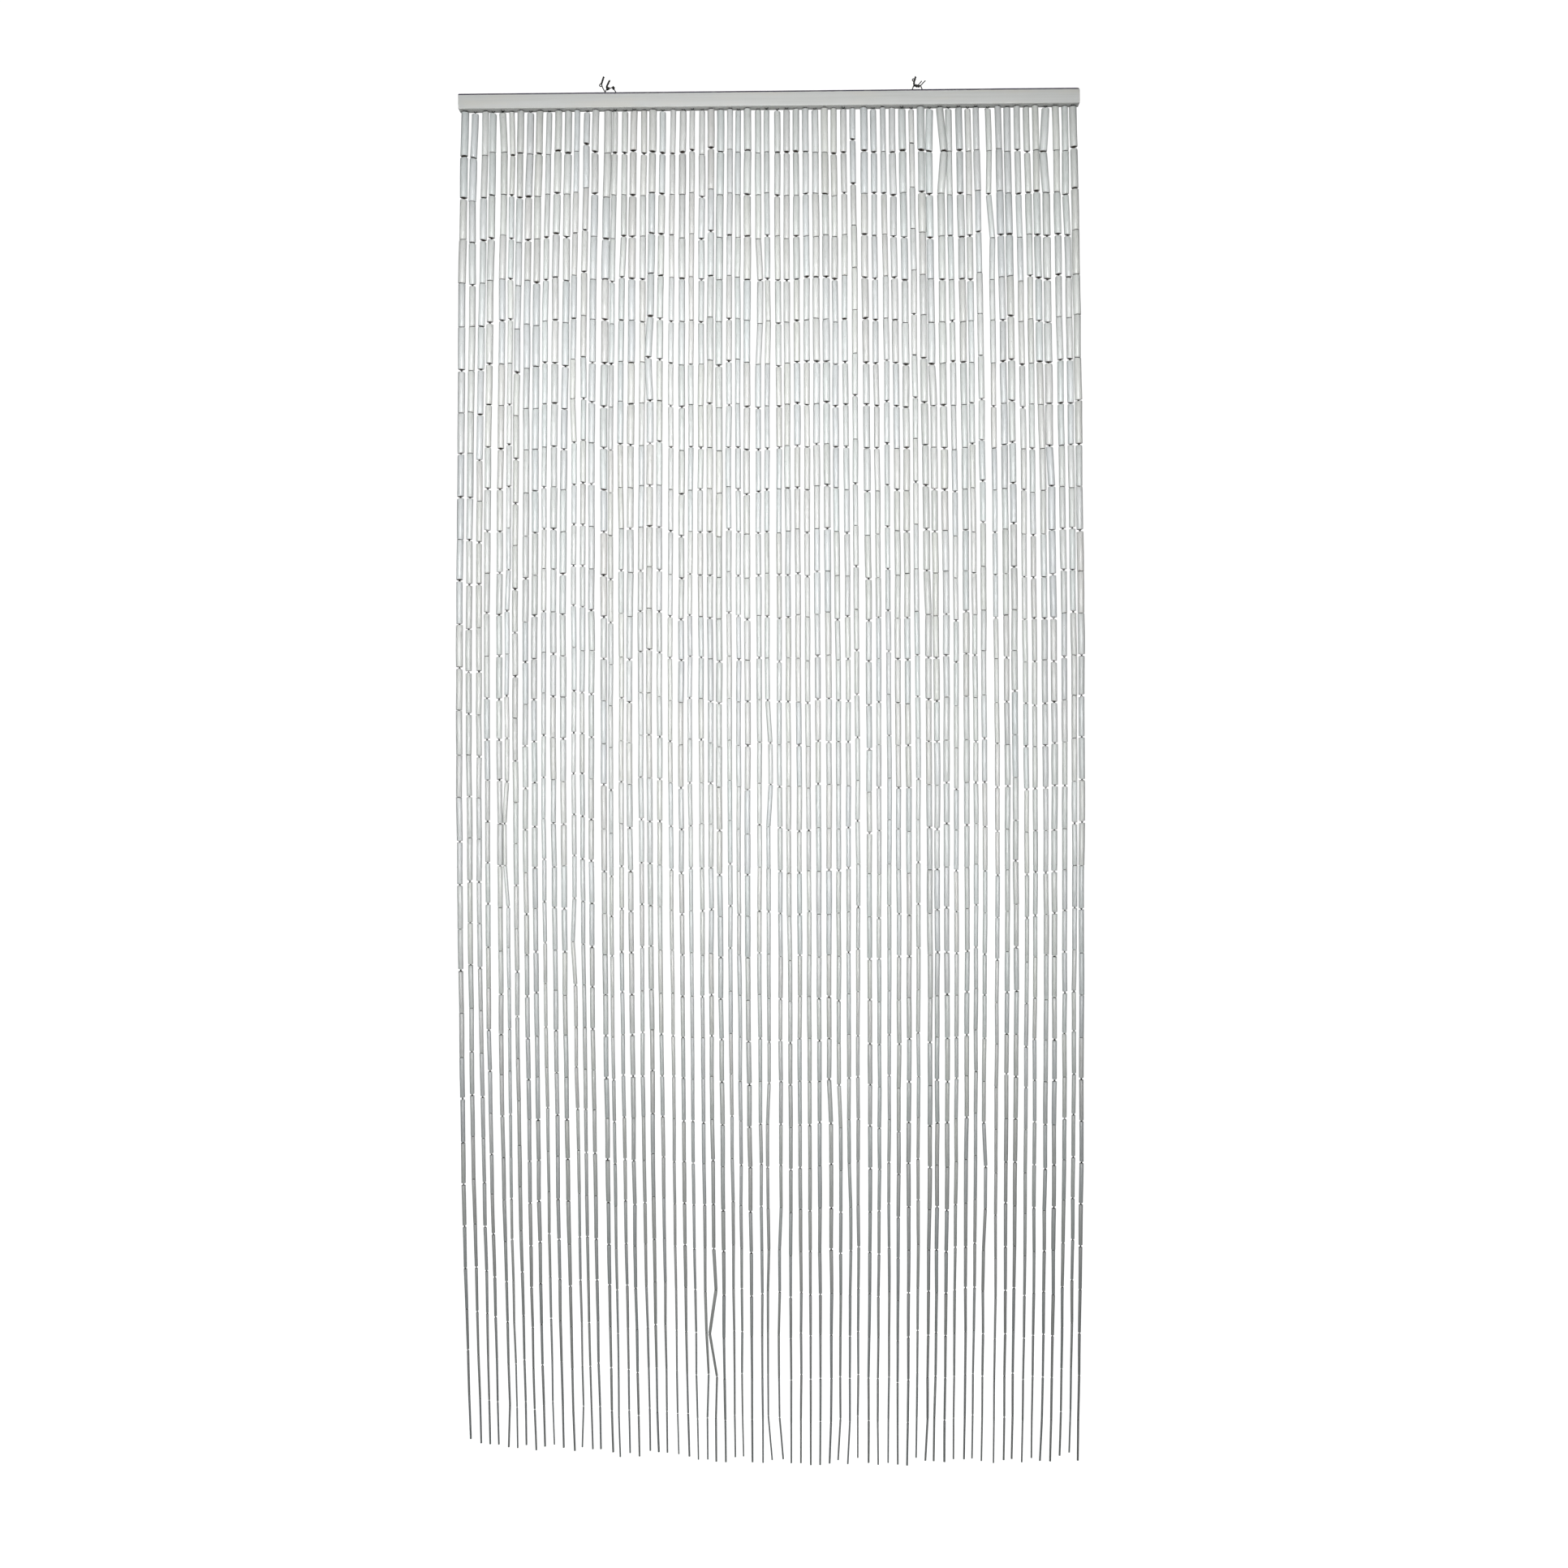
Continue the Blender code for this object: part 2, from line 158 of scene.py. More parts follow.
GAPS = tuple(Gap(*row) for row in (
    (2, 2.0), (3, -2.4), (15, 3.1), (16, -2.2), (22, 2.4), (29, -2.0), (31, 1.6),
    (32, -1.6), (33, 2.2), (42, 2.8), (54, -1.9), (55, 4.4), (61, 1.7), (64, -2.2),
))
SHORT_FIRST_TUBES = tuple(ShortTube(*row) for row in ((14, 0.78), (27, 0.86), (42, 0.70), (48, 0.84)))
BENDS = tuple(Bend(*row) for row in (
    (2, 1, 3, -1.6, 0.0), (5, 1, 31, 3.6, 1.6), (6, 1, 31, 0.6, -1.6), (6, 1, 11, 1.5, 0.0),
    (6, 17, 18, -4.0, -1.4), (13, 8, 31, 3.0, 0.0), (13, 20, 20, -3.0, 0.0), (18, 4, 9, -1.8, -1.0),
    (20, 5, 7, 0.0, -1.6), (21, 5, 7, 0.0, 1.6), (21, 6, 6, -3.6, 0.4), (26, 30, 30, 3.2, 0.0),
    (27, 28, 28, 2.4, 0.0), (27, 29, 29, -8.0, 1.0), (27, 30, 30, 2.0, 0.0), (32, 4, 5, 2.6, -1.4),
    (33, 5, 5, 1.8, 1.4), (33, 15, 16, 4.0, 0.0), (33, 24, 31, -3.0, 0.0), (33, 28, 31, -2.0, 0.0),
    (34, 27, 31, -2.5, 0.0), (34, 29, 31, -2.5, 0.0), (39, 24, 31, 2.5, 0.0), (40, 24, 31, 2.5, 0.0),
    (41, 26, 31, 2.5, 0.0), (49, 12, 31, 2.2, 1.2), (50, 1, 6, -2.0, -0.8), (51, 1, 1, 5.2, 2.8),
    (55, 25, 26, 2.6, 0.0), (56, 2, 2, -2.4, 0.0), (56, 3, 3, 2.6, 0.0), (61, 8, 31, 1.6, 1.4),
    (62, 1, 1, -4.8, -1.6), (62, 2, 3, -2.4, -1.0), (62, 4, 8, -2.5, -1.4), (64, 2, 2, -2.2, 0.0),
))


@dataclass(frozen=True)
class StrandLayout:
    """Where the joints of each strand hang, and how thick its cane is there.

    Arrays have a row for each strand and a column for each joint. A shorter strand repeats its tip.
    """

    count: int = 65
    spread: float = 0.880
    first_tube_top: float = 0.0255
    tube_pitch: float = 0.0615
    length_scatter: float = 0.05
    reach_at_left: float = 1.958
    reach_hump: float = 0.030
    reach_hump_span: float = 0.75
    reach_scatter: float = 0.006
    top_diameter: float = 0.0096
    tip_diameter: float = 0.0035
    taper_power: float = 1.6
    tip_thinning: float = 0.0009
    thinning_start: float = 0.83
    thinning_end: float = 0.93
    cane_scatter: float = 0.17
    mid_spread: float = 0.012
    mid_bulge: float = 0.25
    mid_lean: float = -0.0015
    low_lean: float = -0.0015
    stagger: float = 0.0018
    spacing_scatter: float = 0.0004
    sway: float = 0.0004
    sway_waves: tuple[float, ...] = (2.3, 5.2)
    joint_scatter: float = 0.0005

    def strands(self) -> np.ndarray:
        """Number the strands from 1, as a column."""
        return np.arange(1, self.count + 1)[:, None]

    def places(self) -> np.ndarray:
        """Work out where each strand leaves the slat: the even spacing and the table's gaps, added up.

        Returns:
            Distances from the slat's middle, as a column.
        """
        extras = np.zeros(self.count - 1)
        for gap in GAPS:
            extras[gap.after - 1] = gap.extra * MM
        even = (self.spread - extras.sum()) / (self.count - 1)
        places = np.concatenate([[0.0], np.cumsum(even + extras)]) - self.spread / 2
        places[1:-1] += self.spacing_scatter * scatter(self.strands()[1:-1, 0], 0, Throw.PLACE)
        return places[:, None]

    def reaches(self) -> np.ndarray:
        """Work out the depth of each tip: a half wave, deepest right of the middle, with scatter.

        Returns:
            Depths below the slat's top face, as a column.
        """
        share = (self.strands() - 1) / (self.count - 1)
        hump = self.reach_hump * np.sin(math.pi * self.reach_hump_span * share)
        return self.reach_at_left + hump + self.reach_scatter * scatter(self.strands(), 0, Throw.REACH)

    def tube_counts(self) -> np.ndarray:
        """Count the tubes of each strand, as a column: its hanging length in whole pitches."""
        return np.rint((self.reaches() - self.first_tube_top) / self.tube_pitch).astype(int)

    def joint_depths(self) -> np.ndarray:
        """Work out each joint's depth: uneven tube lengths, scaled to fill the strand, then added up.

        Returns:
            Depths below the slat's top face.
        """
        counts = self.tube_counts()
        tubes = np.arange(counts.max())[None, :]
        lengths = 1.0 + self.length_scatter * scatter(self.strands(), tubes, Throw.LENGTH)
        for short in SHORT_FIRST_TUBES:
            lengths[short.strand - 1, 0] *= short.share
        lengths = np.where(tubes < counts, lengths, 0.0)
        hanging = self.reaches() - self.first_tube_top
        below = np.cumsum(lengths, axis=1) * hanging / lengths.sum(axis=1, keepdims=True)
        return self.first_tube_top + np.hstack([np.zeros((self.count, 1)), below])

    def joint_centres(self) -> np.ndarray:
        """Work out each joint's place: the strand's place, its spread at half height, sway and bends.

        The sway is a sum of sines of the depth that start at zero. The spread is a parabola of the depth.

        Returns:
            Points, on a last axis of three.
        """
        depths = self.joint_depths()
        strands = self.strands()
        joints = np.arange(depths.shape[1])[None, :]
        share = depths / (self.reach_at_left + self.reach_hump)
        sideways = self.joint_scatter * scatter(strands, joints, Throw.SIDEWAYS) * np.minimum(joints, 1)
        forward = self.joint_scatter * scatter(strands, joints, Throw.FORWARD)
        forward += np.where(strands % 2 == 1, self.stagger, -self.stagger)
        for number, waves in enumerate(self.sway_waves):
            phase = math.pi * scatter(strands, number, Throw.SWAY)
            sideways += self.sway * (np.sin(waves * math.pi * share + phase) - np.sin(phase))
        for bend in BENDS:
            sideways[bend.strand - 1, bend.first : bend.last + 1] += bend.sideways * MM
            forward[bend.strand - 1, bend.first : bend.last + 1] += bend.forward * MM
        side = self.places() / (self.spread / 2)
        spread = self.mid_spread * (side + self.mid_bulge * np.sin(math.pi * side)) + self.mid_lean
        sideways += spread * 4.0 * share * (1.0 - share) + self.low_lean * share
        return np.stack([self.places() + sideways, -forward, -depths], axis=-1)

    def radii(self) -> np.ndarray:
        """Work out half the cane's thickness at each joint: a taper that quickens towards the tip."""
        share = np.minimum(self.joint_depths() / self.reaches(), 1.0)
        thinning = (share - self.thinning_start) / (self.thinning_end - self.thinning_start)
        diameters = self.top_diameter - (self.top_diameter - self.tip_diameter) * share**self.taper_power
        diameters -= self.tip_thinning * np.clip(thinning, 0.0, 1.0)
        return 0.5 * diameters * (1.0 + self.cane_scatter * scatter(self.strands(), 0, Throw.CANE))


@dataclass(frozen=True)
class CutEnds:
    """How the tubes are sawn off and how far apart they hang on their links."""

    steepest_cut: float = math.radians(9.0)
    smallest_gap: float = 0.0005
    widest_gap_share: float = 0.82
    gap_radius: float = 0.0034
    touching_share: float = 0.40
    slack_at_slat: float = 0.0026
    lift_at_slat: float = 0.0012
    bore_share: float = 0.52
    bore_scatter: float = 0.14


@dataclass
class Rows:
    """Rows for many tubes or links at once, each of one strand and one joint."""

    strand: np.ndarray
    joint: np.ndarray

    def throws(self, use: Throw) -> np.ndarray:
        """Give each row's fixed number from -1 to 1."""
        return scatter(self.strand, self.joint, use)

    def bundles(self, strands_each: int) -> Iterator[Self]:
        """Part the rows into bundles of neighbouring strands."""
        for first in range(1, self.strand.max() + 1, strands_each):
            inside = (self.strand >= first) & (self.strand < first + strands_each)
            yield type(self)(**{name: rows[inside] for name, rows in vars(self).items()})


@dataclass
class TubeRows(Rows):
    """Every tube of the curtain, a row each, with its own axes: along it, sideways and to the back."""

    top: np.ndarray
    bottom: np.ndarray
    top_radius: np.ndarray
    bottom_radius: np.ndarray
    top_slant: np.ndarray
    bottom_slant: np.ndarray
    bore: np.ndarray

    def lengths(self) -> np.ndarray:
        """Measure the tubes."""
        return np.linalg.norm(self.bottom - self.top, axis=1)

    def axes(self) -> np.ndarray:
        """Give each tube's directions to the right, to the back and down its length, square to each other."""
        along = unit(self.bottom - self.top)
        sideways = unit(RIGHT - along * along[:, :1])
        return np.stack([sideways, np.cross(sideways, along), along], axis=1)


@dataclass
class LinkRows(Rows):
    """Every joint that a wire link makes, a row each: its middle and the tubes above and below it."""

    centre: np.ndarray
    upward: np.ndarray
    downward: np.ndarray
    half_gap: np.ndarray
    bore_radius: np.ndarray


@dataclass
class Chains:
    """The strands as chains of tubes and links, worked out from the layout and the cut ends."""

    layout: StrandLayout = field(default_factory=StrandLayout)
    ends: CutEnds = field(default_factory=CutEnds)
    slat_underside: float = -0.022

    def half_gaps(self) -> np.ndarray:
        """Work out half of the gap at each joint: some nearly touch, the rest hang loose.

        With u the joint's throw past the touching share, as a share of what is left, a gap is the
        smallest one plus the square root of u times a share of the radius, up to the gap radius.

        Returns:
            Half gaps, with a row for each strand and a column for each joint, zero at the tips.
        """
        ends = self.ends
        radii = self.layout.radii()
        joints = np.arange(radii.shape[1])[None, :]
        throws = 0.5 + 0.5 * scatter(self.layout.strands(), joints, Throw.GAP)
        slack = np.sqrt(np.maximum(throws - ends.touching_share, 0.0) / (1.0 - ends.touching_share))
        gaps = ends.smallest_gap + ends.widest_gap_share * np.minimum(radii, ends.gap_radius) * slack
        gaps[:, 0] = 2.0 * (ends.slack_at_slat * slack[:, 0] - ends.lift_at_slat)
        return np.where(joints < self.layout.tube_counts(), gaps / 2, 0.0)

    def slants(self) -> np.ndarray:
        """Work out how steeply each joint's one saw cut slants: the slope's share of a radius."""
        joints = np.arange(self.layout.radii().shape[1])[None, :]
        return np.tan(self.ends.steepest_cut * scatter(self.layout.strands(), joints, Throw.CUT))

    def bore_radii(self) -> np.ndarray:
        """Work out the narrowest bore that a tube may have at each joint."""
        return (self.ends.bore_share - self.ends.bore_scatter) * self.layout.radii()

    def tube_rows(self) -> TubeRows:
        """List the tubes: each lies between two joints, less half of the gap at each.

        Returns:
            The tubes, strand after strand.
        """
        centres = self.layout.joint_centres()
        radii = self.layout.radii()
        slants = self.slants()
        half_gaps = self.half_gaps()[..., None]
        steps = centres[:, 1:] - centres[:, :-1]
        along = steps / np.maximum(np.linalg.norm(steps, axis=2, keepdims=True), 1e-9)
        rows, tubes = np.nonzero(np.arange(radii.shape[1] - 1)[None, :] < self.layout.tube_counts())
        return TubeRows(
            strand=rows + 1,
            joint=tubes,
            top=(centres[:, :-1] + along * half_gaps[:, :-1])[rows, tubes],
            bottom=(centres[:, 1:] - along * half_gaps[:, 1:])[rows, tubes],
            top_radius=radii[rows, tubes],
            bottom_radius=radii[rows, tubes + 1],
            top_slant=slants[rows, tubes],
            bottom_slant=slants[rows, tubes + 1],
            bore=self.ends.bore_share + self.ends.bore_scatter * scatter(rows + 1, tubes, Throw.BORE),
        )

    def link_rows(self) -> LinkRows:
        """List the joints that hold two tubes, with the directions of the tubes away from the joint.

        Returns:
            The joints, strand after strand, without the joint under the slat.
        """
        centres = self.layout.joint_centres()
        joints = np.arange(centres.shape[1])[None, :]
        rows, columns = np.nonzero((joints > 0) & (joints < self.layout.tube_counts()))
        return LinkRows(
            strand=rows + 1,
            joint=columns,
            centre=centres[rows, columns],
            upward=unit(centres[rows, columns - 1] - centres[rows, columns]),
            downward=unit(centres[rows, columns + 1] - centres[rows, columns]),
            half_gap=self.half_gaps()[rows, columns],
            bore_radius=self.bore_radii()[rows, columns],
        )

    def root_rows(self) -> LinkRows:
        """List the joints under the slat, halfway between its underside and the first tubes.

        Returns:
            One row for each strand, whose half gap is half of that distance.
        """
        centres = self.layout.joint_centres()
        tube_tops = centres[:, 0, 2] - self.half_gaps()[:, 0]
        middles = centres[:, 0].copy()
        middles[:, 2] = (self.slat_underside + tube_tops) / 2
        return LinkRows(
            strand=self.layout.strands()[:, 0],
            joint=np.zeros(self.layout.count, int),
            centre=middles,
            upward=np.broadcast_to(UP, middles.shape),
            downward=unit(centres[:, 1] - centres[:, 0]),
            half_gap=(self.slat_underside - tube_tops) / 2,
            bore_radius=self.bore_radii()[:, 0],
        )


@dataclass
class MeshDraft:
    """Points and four-sided faces of a piece, with what its materials read at each point."""

    points: np.ndarray
    quads: np.ndarray
    smooth: np.ndarray
    slots: np.ndarray
    vectors: dict[str, np.ndarray] = field(default_factory=dict)
    numbers: dict[str, np.ndarray] = field(default_factory=dict)
    colours: dict[str, np.ndarray] = field(default_factory=dict)

    def make_object(self, name: str, materials: list[bpy.types.Material]) -> bpy.types.Object:
        """Put the draft into a new mesh object at the origin.

        Args:
            name: The piece's name.
            materials: The materials, in the order that the faces' slots count.

        Returns:
            The object, linked to the scene.
        """
        mesh = bpy.data.meshes.new(name)
        mesh.vertices.add(len(self.points))
        mesh.vertices.foreach_set("co", self.points.astype(np.float32).ravel())
        mesh.loops.add(self.quads.size)
        mesh.loops.foreach_set("vertex_index", self.quads.astype(np.int32).ravel())
        mesh.polygons.add(len(self.quads))
        mesh.polygons.foreach_set("loop_start", np.arange(0, self.quads.size, 4, dtype=np.int32))
        for material in materials:
            mesh.materials.append(material)
        mesh.polygons.foreach_set("material_index", self.slots.astype(np.int32))
        mesh.polygons.foreach_set("use_smooth", self.smooth)
        mesh.update(calc_edges=True)
        layers = (
            (self.vectors, "FLOAT_VECTOR", "vector"),
            (self.numbers, "FLOAT", "value"),
            (self.colours, "FLOAT_COLOR", "color"),
        )
        for values, kind, key in layers:
            for layer, rows in values.items():
                attribute = mesh.attributes.new(layer, kind, "POINT")
                attribute.data.foreach_set(key, rows.astype(np.float32).ravel())
        piece = bpy.data.objects.new(name, mesh)
        bpy.context.scene.collection.objects.link(piece)
        return piece


def plain_draft(points: np.ndarray, quads: np.ndarray, smooth: bool = True) -> MeshDraft:
    """Draft a piece of one finish, with no layers."""
    return MeshDraft(points.reshape(-1, 3), quads, np.full(len(quads), smooth), np.zeros(len(quads), int))


def join_drafts(drafts: list[MeshDraft]) -> MeshDraft:
    """Join drafts of one finish, the later faces counting on from the earlier points."""
    starts = np.cumsum([0] + [len(draft.points) for draft in drafts[:-1]])
    quads = np.vstack([draft.quads + start for draft, start in zip(drafts, starts)])
    return plain_draft(np.vstack([draft.points for draft in drafts]), quads)


def section_quads(stations: int, sides: int) -> np.ndarray:
    """List the faces of one swept bar: rows of quads round it, then a strip of quads over each end.

    Args:
        stations: How many sections the bar has.
        sides: How many points each section has, an even number.

    Returns:
        Quads that face outwards, for sections that turn rightwards as seen along the bar.
    """
    rows = np.arange(stations - 1)[:, None] * sides
    here = np.arange(sides)[None, :]
    after = (here + 1) % sides
    wall = np.stack([rows + here, rows + after, rows + sides + after, rows + sides + here], axis=-1)
    near = np.arange(sides // 2 - 1)
    far = sides - 1 - near
    start_cap = np.stack([near + 1, near, far, far - 1], axis=-1)
    end_cap = start_cap[:, ::-1] + (stations - 1) * sides
    return np.vstack([wall.reshape(-1, 4), start_cap, end_cap])


def sweep_wires(paths: np.ndarray, radii: np.ndarray, reference: np.ndarray, sides: int) -> MeshDraft:
    """Carry a round section along many paths at once.

    T is the path's slope, S = reference x T made unit and F = S x T. The point at angle a of a section is
    its middle + radius * (F cos a + S sin a).

    Args:
        paths: Points, wires by stations by three.
        radii: The wire's radius at each station of each wire.
        reference: For each wire, a direction that its path never takes.
        sides: How many points a section has.

    Returns:
        The draft of all the wires, smooth and in the first slot.
    """
    tangents = unit(np.gradient(paths, axis=1))
    second = unit(np.cross(reference[:, None, :], tangents))
    first = np.cross(second, tangents)
    angles = 2.0 * math.pi * (np.arange(sides) + 0.5) / sides
    ring = first[:, :, None, :] * np.cos(angles)[:, None] + second[:, :, None, :] * np.sin(angles)[:, None]
    points = paths[:, :, None, :] + radii[:, :, None, None] * ring
    wires, stations = radii.shape
    starts = np.arange(wires)[:, None, None] * stations * sides
    return plain_draft(points, (section_quads(stations, sides)[None] + starts).reshape(-1, 4))


class MaterialMaker:
    """A new Principled material and short calls that add nodes to it."""

    def __init__(self, name: str) -> None:
        """Start the material with its shader."""
        self.material = bpy.data.materials.new(name)
        self.material.use_nodes = True
        self.tree = self.material.node_tree
        self.shader = self.tree.nodes["Principled BSDF"]

    def feed(self, node: bpy.types.Node, values: dict[str | int, object]) -> None:
        """Link other nodes' sockets to a node's inputs, or set the inputs to values."""
        for name, value in values.items():
            if isinstance(value, Socket):
                self.tree.links.new(value, node.inputs[name])
            else:
                node.inputs[name].default_value = value

    def add(self, kind: str, values: dict[str | int, object]) -> bpy.types.Node:
        """Add a node of a kind and feed its inputs."""
        node = self.tree.nodes.new(kind)
        self.feed(node, values)
        return node

    def attribute(self, name: str, output: str) -> Socket:
        """Read a named layer of the mesh."""
        node = self.add("ShaderNodeAttribute", {})
        node.attribute_name = name
        return node.outputs[output]

    def object_place(self) -> Socket:
        """Read the place on the piece, in metres."""
        return self.add("ShaderNodeTexCoord", {}).outputs["Object"]

    def axis(self, place: Socket, name: str) -> Socket:
        """Take X, Y or Z of a place."""
        return self.add("ShaderNodeSeparateXYZ", {0: place}).outputs[name]

    def stretched(self, place: Socket, scale: Point) -> Socket:
        """Scale a place along each axis."""
        return self.add("ShaderNodeMapping", {"Vector": place, "Scale": scale}).outputs["Vector"]

    def noise(self, place: Socket, scale: float, detail: float = 3.0) -> Socket:
        """Make cloudy noise from 0 to 1."""
        values = {"Vector": place, "Scale": scale, "Detail": detail}
        return self.add("ShaderNodeTexNoise", values).outputs["Fac"]

    def patches(self, place: Socket, scale: float, start: float, stop: float) -> Socket:
        """Make noise that shows only in patches, where it rises from start to stop."""
        return self.span(self.noise(place, scale), start, stop)

    def dots(self, place: Socket, scale: float) -> Socket:
        """Measure the distance to the nearest of scattered points, in cells."""
        return self.add("ShaderNodeTexVoronoi", {"Vector": place, "Scale": scale}).outputs["Distance"]

    def span(self, value: Socket, start: float, stop: float, low: float = 0.0, high: float = 1.0) -> Socket:
        """Carry a number over from the span start to stop to the span low to high, held at its ends."""
        values = {"Value": value, "From Min": start, "From Max": stop, "To Min": low, "To Max": high}
        return self.add("ShaderNodeMapRange", values).outputs["Result"]

    def times(self, first: Socket, second: Socket) -> Socket:
        """Multiply two numbers."""
        node = self.add("ShaderNodeMath", {0: first, 1: second})
        node.operation = "MULTIPLY"
        return node.outputs[0]

    def mix(self, share: object, first: object, second: object, blend: str = "MIX") -> Socket:
        """Mix two colours by a share, or blend them another way."""
        node = self.add("ShaderNodeMix", {})
        node.data_type = "RGBA"
        node.blend_type = blend
        self.feed(node, {"Factor": share, 6: first, 7: second})
        return node.outputs[2]

    def bump(self, height: Socket, distance: float, strength: float) -> None:
        """Raise the surface by a height from 0 to 1, over a real distance."""
        values = {"Height": height, "Distance": distance, "Strength": strength}
        self.feed(self.shader, {"Normal": self.add("ShaderNodeBump", values).outputs["Normal"]})


@dataclass(frozen=True)
class BambooPaint:
    """Satin off-white paint on a tube: fibre marks, blotches, pinholes, rims darkened partly by rubbed dirt
    and partly as painted shade at the joints, and a few chips.

    A span names the two values of a noise or layer between which it shows, then how much it shows at each.
    Patches start with their scale. Relief is a depth in metres and a strength.
    """

    paint: Colour = (0.712, 0.712, 0.704, 1.0)
    thin_paint: Colour = (0.585, 0.592, 0.575, 1.0)
    speck: Colour = (0.16, 0.13, 0.11, 1.0)
    chip: Colour = (0.30, 0.265, 0.23, 1.0)
    rim_dirt_and_shade: Colour = (0.19, 0.185, 0.18, 1.0)
    fibre_scale: Point = (1300.0, 1300.0, 55.0)
    blotch_scale: Point = (190.0, 190.0, 60.0)
    fibre_span: Span = (0.45, 0.75, 0.0, 0.55)
    blotch_span: Span = (0.52, 0.72, 0.0, 0.45)
    gloss_span: Span = (0.3, 0.7, 0.42, 0.60)
    pinholes_a_metre: float = 420.0
    pinhole_span: Span = (0.09, 0.14, 1.0, 0.0)
    pinhole_patches: Span = (130.0, 0.52, 0.60)
    rim_dirt_and_shade_span: Span = (1.3, 2.0, 0.6, 0.0)
    chipped_length: float = 0.0018
    ragged_patches: Span = (700.0, 0.54, 0.62)
    knocked_patches: Span = (60.0, 0.58, 0.66)
    relief: Span = (0.00025, 0.55)
    varnish: float = 1.0
    varnish_roughness: float = 0.34
    varnish_tint: Colour = (0.912, 0.93, 0.928, 1.0)

    def make(self) -> bpy.types.Material:
        """Make the material. It reads the layers grain_place, tube_tint, rim and from_end."""
        maker = MaterialMaker("bamboo_paint")
        place = maker.attribute("grain_place", "Vector")
        fibres = maker.noise(maker.stretched(place, self.fibre_scale), 1.0, 4.0)
        blotches = maker.noise(maker.stretched(place, self.blotch_scale), 1.0, 3.0)
        colour = maker.mix(maker.span(fibres, *self.fibre_span), self.paint, self.thin_paint)
        colour = maker.mix(maker.span(blotches, *self.blotch_span), colour, self.thin_paint)
        pinholes = maker.span(maker.dots(place, self.pinholes_a_metre), *self.pinhole_span)
        some = maker.patches(place, *self.pinhole_patches)
        colour = maker.mix(maker.times(pinholes, some), colour, self.speck)
        # Rounded rims darkened: partly rubbed dirt, partly painted shade in the groove at each joint.
        colour = maker.mix(maker.span(maker.attribute("rim", "Fac"), *self.rim_dirt_and_shade_span), colour, self.rim_dirt_and_shade)
        near_end = maker.span(maker.attribute("from_end", "Fac"), 0.0, self.chipped_length, 1.0, 0.0)
        ragged = maker.patches(place, *self.ragged_patches)
        knocked = maker.patches(place, *self.knocked_patches)
        colour = maker.mix(maker.times(maker.times(near_end, ragged), knocked), colour, self.chip)
        colour = maker.mix(1.0, colour, maker.attribute("tube_tint", "Color"), "MULTIPLY")
        maker.bump(fibres, *self.relief)
        maker.feed(maker.shader, {
            "Base Color": colour,
            "Roughness": maker.span(fibres, *self.gloss_span),
            "Coat Weight": self.varnish,
            "Coat Roughness": self.varnish_roughness,
            "Coat Tint": self.varnish_tint,
        })
        return maker.material


@dataclass(frozen=True)
class SawnEnd:
    """A sawn end: paint at its rim, darkened as painted shade at the joints, then rough brown-grey fibres,
    darker towards the bore.
    """

    # The rim's paint is a dark grey rather than the wall's white: painted shade at the joints.
    rim: Colour = (0.34, 0.33, 0.32, 1.0)
    fibre: Colour = (0.05, 0.043, 0.038, 1.0)
    pale_fibre: Colour = (0.13, 0.115, 0.10, 1.0)
    fibres_a_metre: float = 1500.0
    fibre_span: Span = (0.42, 0.62)
    paint_span: Span = (0.72, 0.98)
    roughness: float = 0.8
    relief: Span = (0.0003, 0.8)

    def make(self) -> bpy.types.Material:
        """Make the material. It reads the layers grain_place and rim."""
        maker = MaterialMaker("sawn_bamboo")
        place = maker.attribute("grain_place", "Vector")
        ragged = maker.noise(place, self.fibres_a_metre, 4.0)
        colour = maker.mix(maker.span(ragged, *self.fibre_span), self.fibre, self.pale_fibre)
        painted = maker.span(maker.attribute("rim", "Fac"), *self.paint_span)
        colour = maker.mix(painted, colour, self.rim)
        maker.feed(maker.shader, {"Base Color": colour, "Roughness": self.roughness})
        maker.bump(ragged, *self.relief)
        return maker.material


@dataclass(frozen=True)
class DarkBore:
    """The unpainted inside of a cane: dark brown with lengthwise fibres."""

    brown: Colour = (0.045, 0.03, 0.022, 1.0)
    pale_brown: Colour = (0.14, 0.10, 0.075, 1.0)
    fibre_scale: Point = (2400.0, 2400.0, 90.0)
    fibre_span: Span = (0.4, 0.65)
    roughness: float = 0.85

    def make(self) -> bpy.types.Material:
        """Make the material. It reads the layer grain_place."""
        maker = MaterialMaker("bamboo_bore")
        place = maker.attribute("grain_place", "Vector")
        fibres = maker.noise(maker.stretched(place, self.fibre_scale), 1.0)
        colour = maker.mix(maker.span(fibres, *self.fibre_span), self.brown, self.pale_brown)
        maker.feed(maker.shader, {"Base Color": colour, "Roughness": self.roughness})
        return maker.material


